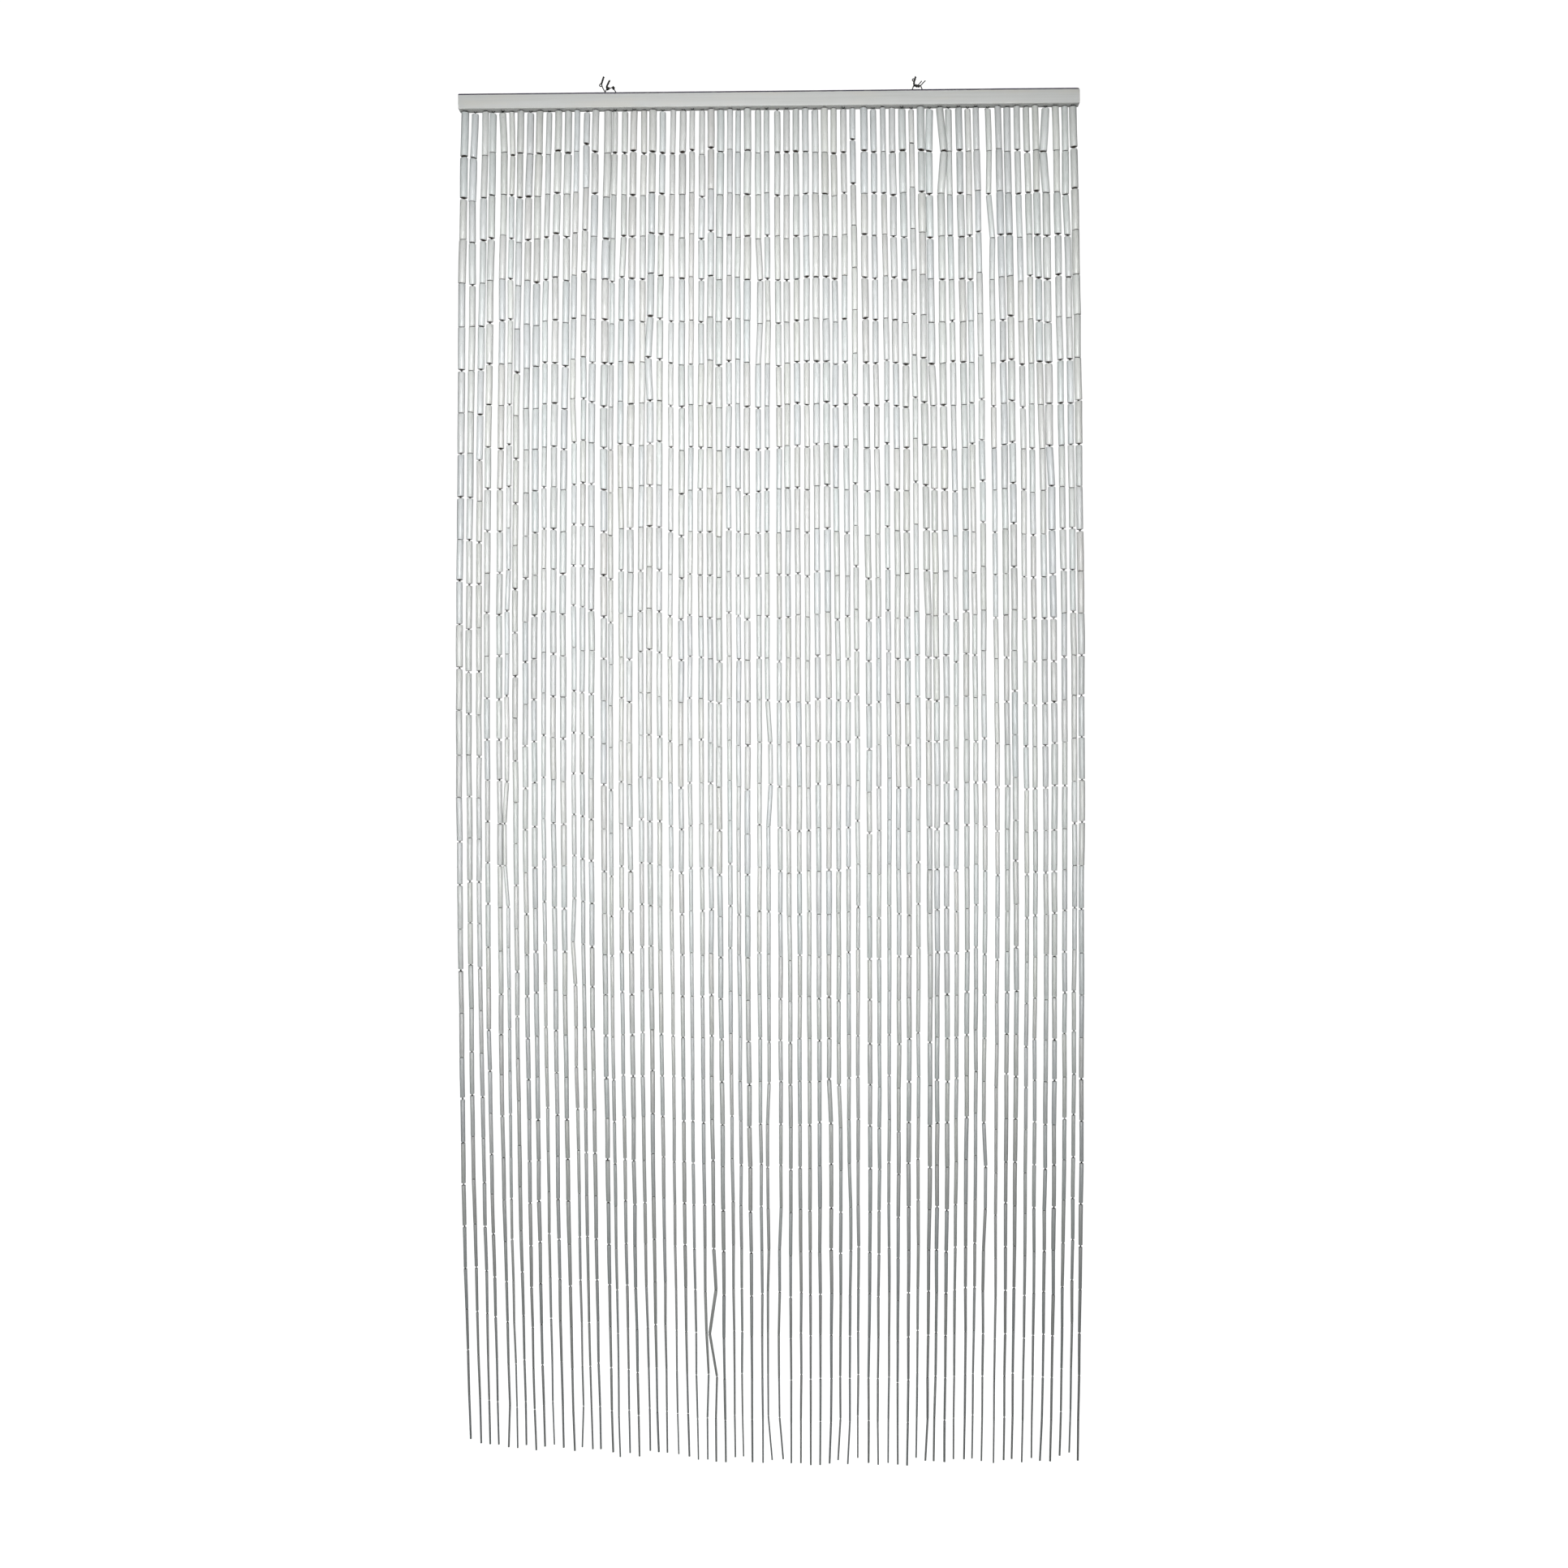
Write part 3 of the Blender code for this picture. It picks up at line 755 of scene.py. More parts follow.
@dataclass(frozen=True)
class SlatPaint:
    """Satin white paint on planed softwood: faint grain, a dark line along the top front edge and a rough
    underside painted darker as shade, in speckles.
    """

    paint: Colour = (0.575, 0.58, 0.57, 1.0)
    grain: Colour = (0.52, 0.528, 0.51, 1.0)
    warm: Colour = (0.585, 0.575, 0.54, 1.0)
    top_edge_dark: Colour = (0.06, 0.052, 0.08, 1.0)
    underside_shade: Colour = (0.42, 0.415, 0.395, 1.0)
    grain_scale: Point = (7.0, 420.0, 420.0)
    grain_span: Span = (0.45, 0.7, 0.0, 0.8)
    gloss_span: Span = (0.3, 0.7, 0.48, 0.62)
    patch_scale: Point = (9.0, 60.0, 60.0)
    patch_span: Span = (0.48, 0.62, 0.0, 0.7)
    specks_a_metre: float = 900.0
    speck_span: Span = (0.40, 0.62)
    underside: float = -0.0213
    underside_edge: float = 0.0005
    top_line: float = 0.0026
    top_line_edge: float = 0.0006
    front_face: float = -0.0072
    front_edge: float = 0.0008
    wobble_scale: Point = (60.0, 300.0, 0.0)
    wobble_span: Span = (0.2, 0.45, 0.75, 1.0)
    relief: Span = (0.00025, 0.4)

    def make(self) -> bpy.types.Material:
        """Make the material. It reads Object coordinates: X runs along the grain and Z is up."""
        maker = MaterialMaker("slat_paint")
        place = maker.object_place()
        height = maker.axis(place, "Z")
        grain = maker.noise(maker.stretched(place, self.grain_scale), 1.0, 4.0)
        colour = maker.mix(maker.span(grain, *self.grain_span), self.paint, self.grain)
        patches = maker.noise(maker.stretched(place, self.patch_scale), 1.0, 2.0)
        colour = maker.mix(maker.span(patches, *self.patch_span), colour, self.warm)
        # The underside is painted darker as shade, speckled with the paint's own colour.
        speckle = maker.span(maker.noise(place, self.specks_a_metre, 4.0), *self.speck_span)
        shaded_underside = maker.span(height, self.underside, self.underside - self.underside_edge)
        colour = maker.mix(shaded_underside, colour, maker.mix(speckle, self.underside_shade, self.paint))
        # A dark line painted along the top front edge, its strength wobbling along the slat.
        wobble = maker.noise(maker.stretched(place, self.wobble_scale), 1.0, 2.0)
        in_front = maker.span(maker.axis(place, "Y"), self.front_face + self.front_edge, self.front_face)
        line = maker.times(maker.span(height, -self.top_line, -self.top_line + self.top_line_edge), in_front)
        top_edge_darkening = maker.times(line, maker.span(wobble, *self.wobble_span))
        colour = maker.mix(top_edge_darkening, colour, self.top_edge_dark)
        maker.feed(maker.shader, {"Base Color": colour, "Roughness": maker.span(grain, *self.gloss_span)})
        maker.bump(grain, *self.relief)
        return maker.material


@dataclass(frozen=True)
class WireSteel:
    """Drawn steel wire, dull and a little tarnished."""

    bright: Colour = (0.07, 0.07, 0.068, 1.0)
    tarnished: Colour = (0.025, 0.024, 0.023, 1.0)
    patches_a_metre: float = 260.0
    patch_span: Span = (0.38, 0.62)
    gloss_span: Span = (0.3, 0.7, 0.34, 0.6)
    relief: Span = (0.00005, 0.4)

    def make(self, name: str) -> bpy.types.Material:
        """Make the material, which reads Object coordinates.

        Args:
            name: The material's name.

        Returns:
            The material.
        """
        maker = MaterialMaker(name)
        patches = maker.noise(maker.object_place(), self.patches_a_metre)
        colour = maker.mix(maker.span(patches, *self.patch_span), self.bright, self.tarnished)
        roughness = maker.span(patches, *self.gloss_span)
        maker.feed(maker.shader, {"Base Color": colour, "Metallic": 1.0, "Roughness": roughness})
        maker.bump(patches, *self.relief)
        return maker.material


# A tube's nine rings run from the bore's top over the wall to the bore's bottom. The layer rim says where
# a ring lies: 0 at the bore, 1 at the edge of the sawn end, 2 on the wall.
RINGS = np.arange(9)
WAIST = 4
RIM_LAYER = np.array([0.0, 1.0, 1.6, 2.0, 2.0, 2.0, 1.6, 1.0, 0.0])


class TubeFace(Enum):
    """The material slots of a tube."""

    PAINT = 0
    SAWN = 1
    BORE = 2


@dataclass
class BambooTubes:
    """The bamboo tubes of all strands, joined in bundles of neighbouring strands."""

    chains: Chains
    sides: int = 12
    rim_round: float = 0.20
    rim_step: float = 0.3
    waist_girth: float = 0.4
    waist_shift: float = 0.12
    girth_scatter: float = 0.04
    oval: float = 0.035
    bow: float = 0.045
    shade_scatter: float = 0.05
    strand_shade: float = 0.03
    warm_scatter: float = 0.020
    green_scatter: float = 0.012
    pattern_shift: float = 3.0
    strands_a_bundle: int = 5

    def profiles(self, tubes: TubeRows) -> tuple[np.ndarray, np.ndarray]:
        """Work out the nine rings of every tube. Each rim is rounded off in two steps.

        Args:
            tubes: The tubes.

        Returns:
            The rings' radii and their distances down the tube, tubes by rings.
        """
        girth = 1.0 + self.girth_scatter * tubes.throws(Throw.GIRTH)
        ends = np.stack([tubes.top_radius, tubes.bottom_radius], axis=1) * girth[:, None]
        waist = (ends[:, :1] + ends[:, 1:]) / 2 * (1.0 + self.waist_girth * (girth[:, None] - 1.0))
        round_off = self.rim_round * ends
        first_step = self.rim_step * round_off
        rims = np.stack([tubes.bore[:, None] * ends, ends - round_off, ends - first_step, ends], axis=2)
        ways = np.stack([0.0 * ends, 0.0 * ends, first_step, round_off], axis=2)
        length = tubes.lengths()[:, None]
        half_way = length * (0.5 + self.waist_shift * tubes.throws(Throw.BOW)[:, None])
        radii = np.hstack([rims[:, 0], waist, rims[:, 1, ::-1]])
        return radii, np.hstack([ways[:, 0], half_way, length - ways[:, 1, ::-1]])

    def ring_points(self, tubes: TubeRows) -> np.ndarray:
        """Work out the points of every ring.

        A ring's point at angle a lies at its distance along the tube, plus slant * radius *
        cos(a - turn) near a slanted cut, and at radius * (1 + oval * cos(2 (a - turn))) from the middle
        line, which bows sideways at the waist.

        Args:
            tubes: The tubes.

        Returns:
            Points, tubes by rings by sides by three.
        """
        angles = 2.0 * math.pi * np.arange(self.sides)[None, None, :] / self.sides
        radii, distances = self.profiles(tubes)
        end = (RINGS > WAIST).astype(int)
        cuts = [scatter(tubes.strand, tubes.joint + lower, Throw.CUT_TURN) for lower in (0, 1)]
        turn = math.pi * np.stack(cuts, axis=1)[:, end]
        slant = np.stack([tubes.top_slant, tubes.bottom_slant], axis=1)[:, end] * (RINGS != WAIST)
        shift = (slant * radii)[..., None] * np.cos(angles - turn[..., None])
        oval_turn = math.pi * tubes.throws(Throw.OVAL)[:, None, None]
        widths = radii[..., None] * (1.0 + self.oval * np.cos(2.0 * (angles - oval_turn)))
        bows = (self.bow * radii[:, [WAIST]] * (RINGS == WAIST))[..., None]
        right, back, along = tubes.axes()[:, :, None, None, :].swapaxes(0, 1)
        return (
            tubes.top[:, None, None, :]
            + (distances[..., None] + shift)[..., None] * along
            + (widths * np.cos(angles) + bows * np.cos(oval_turn))[..., None] * right
            + (widths * np.sin(angles) + bows * np.sin(oval_turn))[..., None] * back
        )

    def tube_quads(self) -> np.ndarray:
        """List one tube's faces, segment by segment round its closed profile, facing outwards."""
        here = np.arange(self.sides)[None, :]
        after = (here + 1) % self.sides
        first = RINGS[:, None] * self.sides
        second = np.roll(first, -1)
        return np.stack([first + here, second + here, second + after, first + after], axis=-1).reshape(-1, 4)

    def tints(self, tubes: TubeRows) -> np.ndarray:
        """Work out each tube's tint: a lighter or darker strand and tube, a little warm, lilac or green.

        Args:
            tubes: The tubes.

        Returns:
            A colour with alpha for each tube.
        """
        shade = 1.0 + self.shade_scatter * tubes.throws(Throw.SHADE)
        shade += self.strand_shade * scatter(tubes.strand, 0, Throw.STRAND_SHADE)
        warm = self.warm_scatter * scatter(tubes.strand, tubes.joint // 2, Throw.WARM)
        green = self.green_scatter * scatter(tubes.strand, tubes.joint // 3, Throw.GREEN)
        return np.stack([shade + warm, shade + green, shade - warm, np.ones_like(shade)], axis=1)

    def draft(self, tubes: TubeRows) -> MeshDraft:
        """Draft the given tubes as one mesh, with the layers that their materials read.

        Args:
            tubes: The tubes of a bundle.

        Returns:
            The draft.
        """
        points = self.ring_points(tubes)
        count, rings = points.shape[:2]
        each = rings * self.sides
        starts = np.arange(count)[:, None, None] * each
        faces = [TubeFace.SAWN] + [TubeFace.PAINT] * (rings - 3) + [TubeFace.SAWN, TubeFace.BORE]
        slots = np.repeat([face.value for face in faces], self.sides)
        grain = np.einsum("trsc,tac->trsa", points - tubes.top[:, None, None, :], tubes.axes())
        grain += self.pattern_shift * (1.0 + tubes.throws(Throw.PATTERN))[:, None, None, None]
        from_end = tubes.lengths()[:, None] / 2 * (RINGS == WAIST)
        return MeshDraft(
            points=points.reshape(-1, 3),
            quads=(self.tube_quads()[None] + starts).reshape(-1, 4),
            smooth=np.tile(slots == TubeFace.PAINT.value, count),
            slots=np.tile(slots, count),
            vectors={"grain_place": grain.reshape(-1, 3)},
            numbers={
                "from_end": np.repeat(from_end.ravel(), self.sides),
                "rim": np.tile(np.repeat(RIM_LAYER, self.sides), count),
            },
            colours={"tube_tint": np.repeat(self.tints(tubes), each, axis=0)},
        )

    def build(self) -> list[bpy.types.Object]:
        """Build the bundles, each in place of the strands' solid.

        Returns:
            One object for each bundle.
        """
        materials = [BambooPaint().make(), SawnEnd().make(), DarkBore().make()]
        pieces = []
        for number, rows in enumerate(self.chains.tube_rows().bundles(self.strands_a_bundle), start=1):
            piece = self.draft(rows).make_object(f"bamboo_tubes_{number:02d}", materials)
            pieces.append(fit(piece, Slot.BAMBOO, "strands"))
        return pieces


@dataclass
class WireLinks:
    """The interlinked wire loops between the tubes, and the staples and wire ends under the slat."""

    chains: Chains
    wire_radius: float = 0.0005
    thickest_share: float = 0.20
    staple_radius: float = 0.00042
    staple_half_width: float = 0.0021
    loop_share: float = 0.8
    widest_loop: float = 0.0016
    leg_in_bore: float = 0.0035
    leg_in_slat: float = 0.003
    loop_height: float = 1.25
    arc_steps: int = 6
    sides: int = 4
    staple_turn: float = 0.4
    tail_share: float = 0.45
    tail_length: float = 0.0045
    tail_rise: float = 0.35
    tail_fall: float = 0.8
    tail_points: int = 6
    strands_a_bundle: int = 13

    def loops(
        self,
        centre: np.ndarray,
        outward: np.ndarray,
        half_width: np.ndarray,
        leg: np.ndarray,
        radius: np.ndarray,
        turn: np.ndarray,
    ) -> MeshDraft:
        """Draft wire loops: a leg, half an ellipse over the joint's middle and a leg back.

        A loop's tip lies a wire's radius past the middle, so that the facing loop, a quarter turn on,
        hangs in it. In the loop's plane the arc is (-width cos t, tip + height (1 - sin t)).

        Args:
            centre: Each joint's middle.
            outward: Direction from the middle into what holds the loop.
            half_width: Half of the loop's width.
            leg: How far the legs reach from the middle.
            radius: The wire's radius.
            turn: Angle of the loop's plane round its direction.

        Returns:
            The draft of the loops.
        """
        arc = math.pi * np.arange(self.arc_steps + 1)[None, :] / self.arc_steps
        height = self.loop_height * half_width[:, None]
        across = -half_width[:, None] * np.cos(arc)
        out = -radius[:, None] + height * (1.0 - np.sin(arc))
        ends = np.maximum(leg, radius + height[:, 0])[:, None]
        across = np.hstack([across[:, :1], across, across[:, -1:]])
        out = np.hstack([ends, out, ends])
        right = unit(RIGHT - outward * outward[:, :1])
        back = np.cross(outward, right)
        in_plane = right * np.cos(turn)[:, None] + back * np.sin(turn)[:, None]
        paths = (
            centre[:, None, :]
            + across[..., None] * in_plane[:, None, :]
            + out[..., None] * outward[:, None, :]
        )
        normal = np.cross(in_plane, outward)
        return sweep_wires(paths, np.repeat(radius[:, None], paths.shape[1], axis=1), normal, self.sides)

    def wire_radii(self, rows: LinkRows) -> np.ndarray:
        """Work out the wire's radius: the same all over, but thinner where a bore is narrow."""
        return np.minimum(self.wire_radius, self.thickest_share * 2.0 * rows.bore_radius)

    def half_widths(self, rows: LinkRows) -> np.ndarray:
        """Work out half of a loop's width: a share of the bore, up to the widest."""
        return np.minimum(self.loop_share * rows.bore_radius, self.widest_loop)

    def tube_links(self, rows: LinkRows) -> MeshDraft:
        """Draft both loops of each joint between two tubes.

        Args:
            rows: The joints.

        Returns:
            The draft of the loops.
        """
        turn = math.pi * rows.throws(Throw.LINK_TURN)
        leg = rows.half_gap + self.leg_in_bore
        facts = (self.half_widths(rows), leg, self.wire_radii(rows))
        upper = self.loops(rows.centre, rows.upward, *facts, turn)
        lower = self.loops(rows.centre, rows.downward, *facts, math.pi / 2 - turn)
        return join_drafts([upper, lower])

    def root_links(self, rows: LinkRows) -> MeshDraft:
        """Draft each strand's staple in the slat, its top loop and, on some, the loop's loose wire end.

        A loose end leaves the loop and curves outwards and down: its place at share t is
        length * (t outwards + (rise * t - fall * t^2) upwards).

        Args:
            rows: The joints under the slat.

        Returns:
            The draft of the wires.
        """
        turn = self.staple_turn * scatter(rows.strand, 0, Throw.LINK_TURN)
        width, thickness = (np.full(len(turn), size) for size in (self.staple_half_width, self.staple_radius))
        up = self.loops(rows.centre, rows.upward, width, rows.half_gap + self.leg_in_slat, thickness, turn)
        leg = rows.half_gap + self.leg_in_bore
        radius = self.wire_radii(rows)
        down = self.loops(rows.centre, rows.downward, self.half_widths(rows), leg, radius, math.pi / 2 - turn)
        tailed = scatter(rows.strand, 0, Throw.TAIL) < 2.0 * self.tail_share - 1.0
        aim = math.pi * scatter(rows.strand[tailed], 0, Throw.TAIL_TURN)
        share = np.linspace(0.0, 1.0, self.tail_points)[None, :, None]
        outwards = np.cos(aim)[:, None] * RIGHT + np.sin(aim)[:, None] * BACK
        rise = UP * (self.tail_rise * share - self.tail_fall * share**2)
        tails = rows.centre[tailed][:, None, :] + self.tail_length * (outwards[:, None, :] * share + rise)
        tail_radii = np.repeat(radius[tailed][:, None], self.tail_points, axis=1)
        ends = sweep_wires(tails, tail_radii, np.cross(outwards, UP), self.sides)
        return join_drafts([up, down, ends])

    def build(self) -> list[bpy.types.Object]:
        """Build the links in bundles, each in place of the strands' solid.

        Returns:
            One object for each bundle, and one for the staples.
        """
        steel = WireSteel().make("link_steel")
        pieces = []
        for number, rows in enumerate(self.chains.link_rows().bundles(self.strands_a_bundle), start=1):
            piece = self.tube_links(rows).make_object(f"wire_links_{number}", [steel])
            pieces.append(fit(piece, Slot.STEEL, "strands"))
        roots = self.root_links(self.chains.root_rows()).make_object("slat_staples", [steel])
        pieces.append(fit(roots, Slot.STEEL, "strands"))
        return pieces


@dataclass
class HeaderSlat:
    """The painted slat: a long bar with softened edges, its right top corner worn round."""

    edge_round: float = 0.0012
    corner_steps: int = 6
    left_round: float = 0.0012
    right_round: float = 0.0036
    bottom_round: float = 0.0012
    end_steps: int = 8
    stations: int = 120
    unevenness: float = 0.00012
    waves: tuple[tuple[float, float], ...] = ((31.0, 0.0), (83.0, 1.3))
    sharpest_bend: float = math.radians(50.0)

    def stations_along(self, low: float, high: float) -> np.ndarray:
        """Space the sections evenly, but closer on the rounded ends, where they follow a quarter circle.

        Args:
            low: The slat's left end.
            high: The slat's right end.

        Returns:
            Places along X.
        """
        quarter = (math.pi / 2) * np.arange(self.end_steps) / self.end_steps
        left = low + self.left_round * (1.0 - np.cos(quarter))
        right = high - self.right_round * (1.0 - np.cos(quarter[::-1]))
        middle = np.linspace(low + self.left_round, high - self.right_round, self.stations)
        return np.concatenate([left, middle, right])

    def corner_drop(self, places: np.ndarray, left: float, right: float) -> np.ndarray:
        """Work out how far a rounded end corner falls back: radius - sqrt(radius^2 - (radius - d)^2).

        Args:
            places: Places along X, from end to end.
            left: Radius of the left corner.
            right: Radius of the right corner.

        Returns:
            Falls at each place, zero away from the ends.
        """
        from_left = np.clip(left - (places - places[0]), 0.0, left)
        from_right = np.clip(right - (places[-1] - places), 0.0, right)
        return (left - np.sqrt(left**2 - from_left**2)) + (right - np.sqrt(right**2 - from_right**2))

    def draft(self) -> MeshDraft:
        """Draft the slat: rounded oblong sections, each corner a quarter circle, carried along X.

        Returns:
            The draft.
        """
        (low, front, bottom), (high, back, top) = (tuple(corner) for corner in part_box("header_slat"))
        places = self.stations_along(low, high)
        tops = top - self.corner_drop(places, self.left_round, self.right_round)
        bottoms = bottom + self.corner_drop(places, self.bottom_round, self.bottom_round)
        narrowing = self.corner_drop(places, self.edge_round, self.edge_round)
        wave = self.unevenness * sum(np.sin(places * pitch + start) for pitch, start in self.waves) / 2
        fronts = front + narrowing + self.unevenness + wave
        backs = back - narrowing - self.unevenness + wave
        steps = np.arange(4 * self.corner_steps)
        quarter = steps // self.corner_steps
        angles = math.pi / 2 * (1.0 + quarter + (steps % self.corner_steps) / (self.corner_steps - 1))
        at_back = np.isin(quarter, (2, 3))
        at_top = np.isin(quarter, (0, 3))
        middle_y = np.where(at_back, backs[:, None] - self.edge_round, fronts[:, None] + self.edge_round)
        middle_z = np.where(at_top, tops[:, None] - self.edge_round, bottoms[:, None] + self.edge_round)
        across = middle_y + self.edge_round * np.cos(angles)
        upward = middle_z + self.edge_round * np.sin(angles)
        along = np.repeat(places[:, None], len(steps), axis=1)
        points = np.stack([along, across, upward], axis=-1)
        return plain_draft(points, section_quads(len(places), len(steps)))

    def build(self) -> bpy.types.Object:
        """Build the slat in place of its solid."""
        piece = self.draft().make_object("painted_slat", [SlatPaint().make()])
        piece.data.set_sharp_from_angle(angle=self.sharpest_bend)
        return fit(piece, Slot.WOOD, "header_slat")


@dataclass(frozen=True)
class HangerRoute:
    """Bend points of one hanger's wires, in millimetres from its middle on the slat's top: right, back, up.

    Wraps are shares of the arch between which an end is wound round it, twists are stretches laid as two
    twisted wires, and tails are single ends.
    """

    node: str
    middle: float
    feet: tuple[float, float]
    arch: tuple[Point, ...]
    wraps: tuple[tuple[float, float], ...]
    twists: tuple[tuple[Point, ...], ...]
    tails: tuple[tuple[Point, ...], ...]
    eye: Point
    eye_radius: float


class HangerSide(Enum):
    """The two wire hangers, as they were bent."""

    LEFT = HangerRoute(
        node="hanger_left",
        middle=-0.2295,
        feet=(-9.4, 9.4),
        arch=((-7.4, 0.0, 4.2), (-4.7, 0.0, 8.0), (-0.2, 0.3, 9.0), (3.6, 0.0, 10.2), (6.0, 0.0, 6.2)),
        wraps=((0.29, 0.44), (0.60, 0.78)),
        twists=(
            ((-1.6, -0.4, 8.9), (-5.0, -1.5, 9.6), (-4.4, -1.3, 12.6), (-0.9, -0.4, 20.4)),
            ((-9.6, 0.0, 25.7), (-11.6, 0.0, 19.6), (-13.0, -0.7, 15.0)),
        ),
        tails=(
            ((3.4, 0.2, 9.9), (4.6, -1.2, 10.6), (5.4, -0.9, 8.2), (4.2, 0.9, 7.2)),
            ((-13.0, -0.7, 15.0), (-11.2, -0.5, 9.6), (-7.9, 0.0, 3.6)),
        ),
        eye=(-14.2, 0.0, 13.4),
        eye_radius=1.7,
    )
    RIGHT = HangerRoute(
        node="hanger_right",
        middle=0.2158,
        feet=(-7.9, 8.0),
        arch=((-6.3, 0.0, 4.6), (-4.3, 0.0, 8.9), (0.9, 0.3, 7.5), (4.8, 0.0, 7.9), (6.7, 0.0, 4.4)),
        wraps=((0.36, 0.62),),
        twists=(((-2.0, 0.0, 21.4), (-3.0, -0.4, 17.4), (-4.3, -0.6, 13.6), (-4.5, 0.0, 9.4)),),
        tails=(
            ((0.4, 0.2, 7.6), (1.6, -1.1, 8.9), (4.0, -0.9, 11.7), (6.7, -0.3, 14.9)),
            ((4.2, 0.1, 7.8), (6.2, -1.0, 9.2), (9.0, -0.6, 12.4), (12.1, 0.0, 15.4)),
            ((-4.5, 0.0, 9.4), (-5.4, 0.0, 6.4)),
        ),
        eye=(-5.2, 0.0, 16.6),
        eye_radius=1.6,
    )


@dataclass
class WireHanger:
    """One bent wire hanger on the slat's top."""

    side: HangerSide
    wire_radius: float = 0.00075
    tip_share: float = 0.6
    foot_depth: float = 0.005
    foot_rise: float = 0.0006
    twist_length: float = 0.0048
    wrap_advance: float = 0.0017
    steps: int = 24
    sides: int = 10
    eye_start: float = math.radians(20.0)
    eye_turn: float = math.radians(320.0)
    eye_points: int = 21

    def smooth_path(self, points: np.ndarray) -> np.ndarray:
        """Carry bend points over into a smooth path, by a Catmull-Rom curve.

        Between two points a and b, with p before and q after them, the place at share t is half of
        2 a + (b - p) t + (2 p - 5 a + 4 b - q) t^2 + (3 a - p - 3 b + q) t^3.

        Args:
            points: Bend points, in metres.

        Returns:
            Points along the path.
        """
        ends = np.vstack([2 * points[:1] - points[1:2], points, 2 * points[-1:] - points[-2:-1]])
        before, start, stop, after = (ends[k : len(ends) - 3 + k, None, :] for k in range(4))
        share = (np.arange(self.steps) / self.steps)[None, :, None]
        curve = (
            2 * start
            + (stop - before) * share
            + (2 * before - 5 * start + 4 * stop - after) * share**2
            + (3 * start - before - 3 * stop + after) * share**3
        ) / 2
        return np.vstack([curve.reshape(-1, 3), points[-1:]])

    def wire(self, path: np.ndarray, reference: np.ndarray = BACK) -> MeshDraft:
        """Sweep the wire along a path that never takes the reference direction, its cut ends rounded."""
        radii = np.full((1, len(path)), self.wire_radius)
        radii[0, [0, -1]] *= self.tip_share
        return sweep_wires(path[None], radii, reference[None], self.sides)

    def wound(self, path: np.ndarray, offset: float, advance: float, phase: float) -> np.ndarray:
        """Wind a wire round a path.

        T is the path's slope, S = back x T made unit and F = S x T. After a way s along the path the wire is
        at path + offset * (F cos a + S sin a), where a = phase + 2 pi s / advance.

        Args:
            path: Points of the path.
            offset: How far the wire's middle keeps from the path.
            advance: How far one turn moves along it.
            phase: Angle at which the wire starts.

        Returns:
            Points along the wound wire.
        """
        way = np.insert(np.linalg.norm(np.diff(path, axis=0), axis=1).cumsum(), 0, 0.0)
        slopes = unit(np.gradient(path, axis=0))
        second = unit(np.cross(BACK, slopes))
        first = np.cross(second, slopes)
        angles = (phase + 2.0 * math.pi * way / advance)[:, None]
        return path + offset * (first * np.cos(angles) + second * np.sin(angles))

    def wrap(self, shares: tuple[float, float]) -> MeshDraft:
        """Wind an end of the wire round the arch between two shares of its points."""
        arch = self.arch_path()
        first, last = (int(share * len(arch)) for share in shares)
        stretch = arch[first:last]
        path = self.wound(stretch, 2.0 * self.wire_radius, self.wrap_advance, 0.0)
        return self.wire(path, unit(stretch[-1] - stretch[0]))

    def placed(self, points: tuple[Point, ...]) -> np.ndarray:
        """Turn bend points in millimetres into places on the slat."""
        return np.array(points) * MM + RIGHT * self.side.value.middle

    def arch_path(self) -> np.ndarray:
        """Work out the arch: up out of one hole, over the crown and down into the other."""
        route = self.side.value
        left, right = ((foot, 0.0, self.foot_rise / MM) for foot in route.feet)
        path = self.smooth_path(self.placed((left, *route.arch, right)))
        roots = self.placed(tuple((foot, 0.0, -self.foot_depth / MM) for foot in route.feet))
        return np.vstack([roots[:1], path, roots[1:]])

    def eye_path(self) -> np.ndarray:
        """Work out the small eye: most of a circle, centre + radius (cos a, sin a), open on its stem."""
        route = self.side.value
        angles = self.eye_start + self.eye_turn * np.linspace(0.0, 1.0, self.eye_points)[:, None]
        turned = RIGHT * np.cos(angles) + UP * np.sin(angles)
        return self.placed((route.eye,)) + route.eye_radius * MM * turned

    def build(self, steel: bpy.types.Material) -> bpy.types.Object:
        """Build the hanger in place of its solid.

        Args:
            steel: The wire's material.

        Returns:
            The hanger.
        """
        route = self.side.value
        paths = [self.arch_path(), self.eye_path()]
        paths += [self.smooth_path(self.placed(tail)) for tail in route.tails]
        for twist in route.twists:
            middle = self.smooth_path(self.placed(twist))
            for phase in (0.0, math.pi):
                paths.append(self.wound(middle, self.wire_radius, self.twist_length, phase))
        draft = join_drafts([self.wire(path) for path in paths] + [self.wrap(wrap) for wrap in route.wraps])
        piece = draft.make_object(f"bent_wire_{self.side.name.lower()}", [steel])
        return fit(piece, Slot.STEEL, route.node)


def fit(piece: bpy.types.Object, slot: Slot, node: str) -> bpy.types.Object:
    """Let a piece ride on the curtain's body in place of a node, which is hidden."""
    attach(piece, BODY)
    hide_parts(node)
    return piece


@dataclass(frozen=True)
class SoftLight:
    """A soft oblong light: where it stands, what it looks at, its size, its power and its beam in degrees."""

    name: str
    place: Point
    aim: Point
    size: tuple[float, float]
    power: float
    beam: float


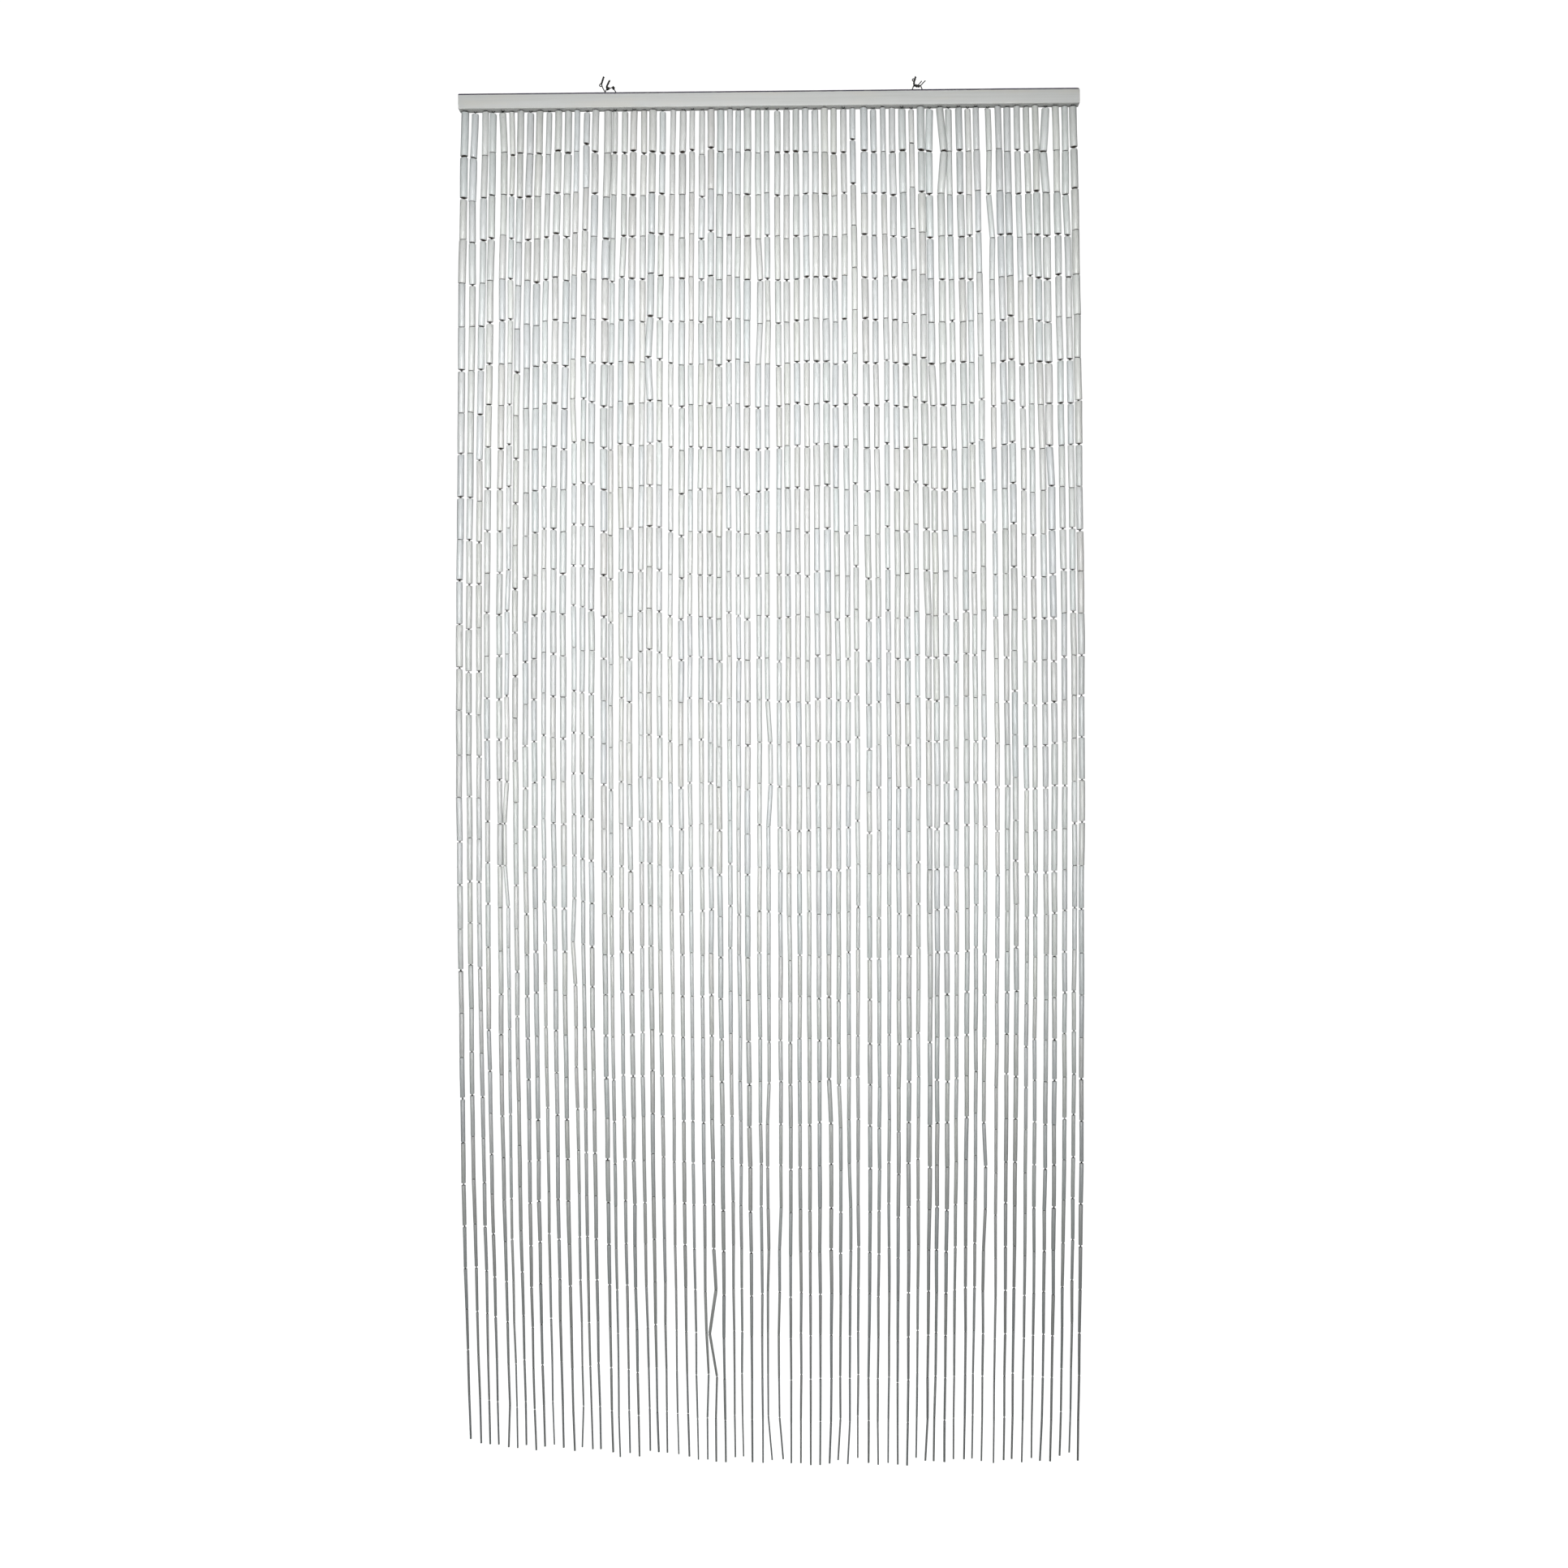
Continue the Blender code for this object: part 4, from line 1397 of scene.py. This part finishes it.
LIGHTS = (
    SoftLight("broad_front_light", (-0.08, -1.9, -0.7), (-0.08, 0.0, -0.7), (1.8, 1.5), power=3.1, beam=30.0),
    SoftLight("camera_side_light", (-0.08, -2.0, -0.8), (-0.08, 0.0, -0.8), (0.4, 0.8), power=6.5, beam=80.0),
    SoftLight("low_front_light", (-0.05, -1.2, -1.2), (-0.05, 0.0, 0.15), (1.6, 0.3), power=2.1, beam=56.0),
    SoftLight("back_light", (0.05, 1.8, 0.75), (0.05, 0.0, -0.65), (2.0, 1.2), power=6.5, beam=40.0),
)


@dataclass
class Studio:
    """White surroundings, soft lights and the camera of the photograph."""

    floor_level: float = -2.08
    floor_size: float = 40.0
    camera_distance: float = 2.5
    camera_turn: float = math.radians(0.75)
    camera_roll: float = math.radians(0.27)
    aim: Point = (0.018, 0.0, -1.0035)
    lens: float = 39.54
    sensor: float = 36.0
    seen: tuple[Colour, float] = (WHITE, 1.05)
    felt: tuple[Colour, float] = ((0.86, 1.0, 0.985, 1.0), 0.07)
    floor_paint: Colour = (0.9, 0.9, 0.9, 1.0)
    floor_roughness: float = 0.9
    floor_glow: float = 1.0

    def make_world(self) -> None:
        """Make surroundings that the camera sees as white and that light the curtain only softly."""
        world = bpy.data.worlds.new("studio")
        bpy.context.scene.world = world
        world.use_nodes = True
        tree = world.node_tree
        tree.nodes.clear()
        rays = tree.nodes.new("ShaderNodeLightPath")
        choice = tree.nodes.new("ShaderNodeMixShader")
        output = tree.nodes.new("ShaderNodeOutputWorld")
        tree.links.new(rays.outputs["Is Camera Ray"], choice.inputs["Fac"])
        for place, (colour, strength) in enumerate((self.felt, self.seen), start=1):
            background = tree.nodes.new("ShaderNodeBackground")
            background.inputs["Color"].default_value = colour
            background.inputs["Strength"].default_value = strength
            tree.links.new(background.outputs["Background"], choice.inputs[place])
        tree.links.new(choice.outputs["Shader"], output.inputs["Surface"])

    def make_floor(self) -> None:
        """Make the pale floor, bright enough to melt into the white surroundings."""
        half = self.floor_size / 2
        corners = np.array([[-half, -half], [half, -half], [half, half], [-half, half]])
        points = np.column_stack([corners, np.full(4, self.floor_level)])
        maker = MaterialMaker("pale_floor")
        maker.feed(maker.shader, {
            "Base Color": self.floor_paint,
            "Roughness": self.floor_roughness,
            "Emission Color": WHITE,
            "Emission Strength": self.floor_glow,
        })
        draft = plain_draft(points, np.array([[0, 1, 2, 3]]), smooth=False)
        floor = draft.make_object("floor", [maker.material])
        floor.visible_diffuse = False
        floor.visible_glossy = False

    def make_light(self, light: SoftLight) -> None:
        """Make one light, which the camera doesn't see."""
        data = bpy.data.lights.new(light.name, "AREA")
        data.shape = "RECTANGLE"
        data.size, data.size_y = light.size
        data.energy = light.power
        data.spread = math.radians(light.beam)
        lamp = bpy.data.objects.new(light.name, data)
        lamp.location = light.place
        look = Vector(light.aim) - Vector(light.place)
        lamp.rotation_euler = look.to_track_quat("-Z", "Y").to_euler()
        lamp.visible_camera = False
        bpy.context.scene.collection.objects.link(lamp)

    def make_camera(self) -> None:
        """Make the camera: straight on at half height, a little to the right and rolled a little."""
        aim = Vector(self.aim)
        back = Vector((math.sin(self.camera_turn), -math.cos(self.camera_turn), 0.0))
        up = Vector((math.sin(self.camera_roll), 0.0, math.cos(self.camera_roll)))
        across = up.cross(back).normalized()
        data = bpy.data.cameras.new("camera")
        data.lens = self.lens
        data.sensor_width = self.sensor
        camera = bpy.data.objects.new("camera", data)
        turned = Matrix((across, back.cross(across), back)).transposed().to_4x4()
        camera.matrix_world = Matrix.Translation(aim + back * self.camera_distance) @ turned
        bpy.context.scene.collection.objects.link(camera)
        bpy.context.scene.camera = camera

    def build(self) -> None:
        """Build the surroundings, the lights and the camera."""
        bpy.context.scene.view_settings.view_transform = "Standard"
        self.make_camera()
        self.make_world()
        self.make_floor()
        for light in LIGHTS:
            self.make_light(light)


def main() -> None:
    """Build the studio and every piece of the curtain."""
    logging.basicConfig(level=logging.INFO, format="%(message)s")
    Studio().build()
    chains = Chains()
    pieces = [HeaderSlat().build()]
    steel = WireSteel().make("hanger_steel")
    pieces += [WireHanger(side).build(steel) for side in HangerSide]
    pieces += BambooTubes(chains).build()
    pieces += WireLinks(chains).build()
    for piece in pieces:
        log.info("%s: %d faces", piece.name, len(piece.data.polygons))


if __name__ == "__main__":
    main()
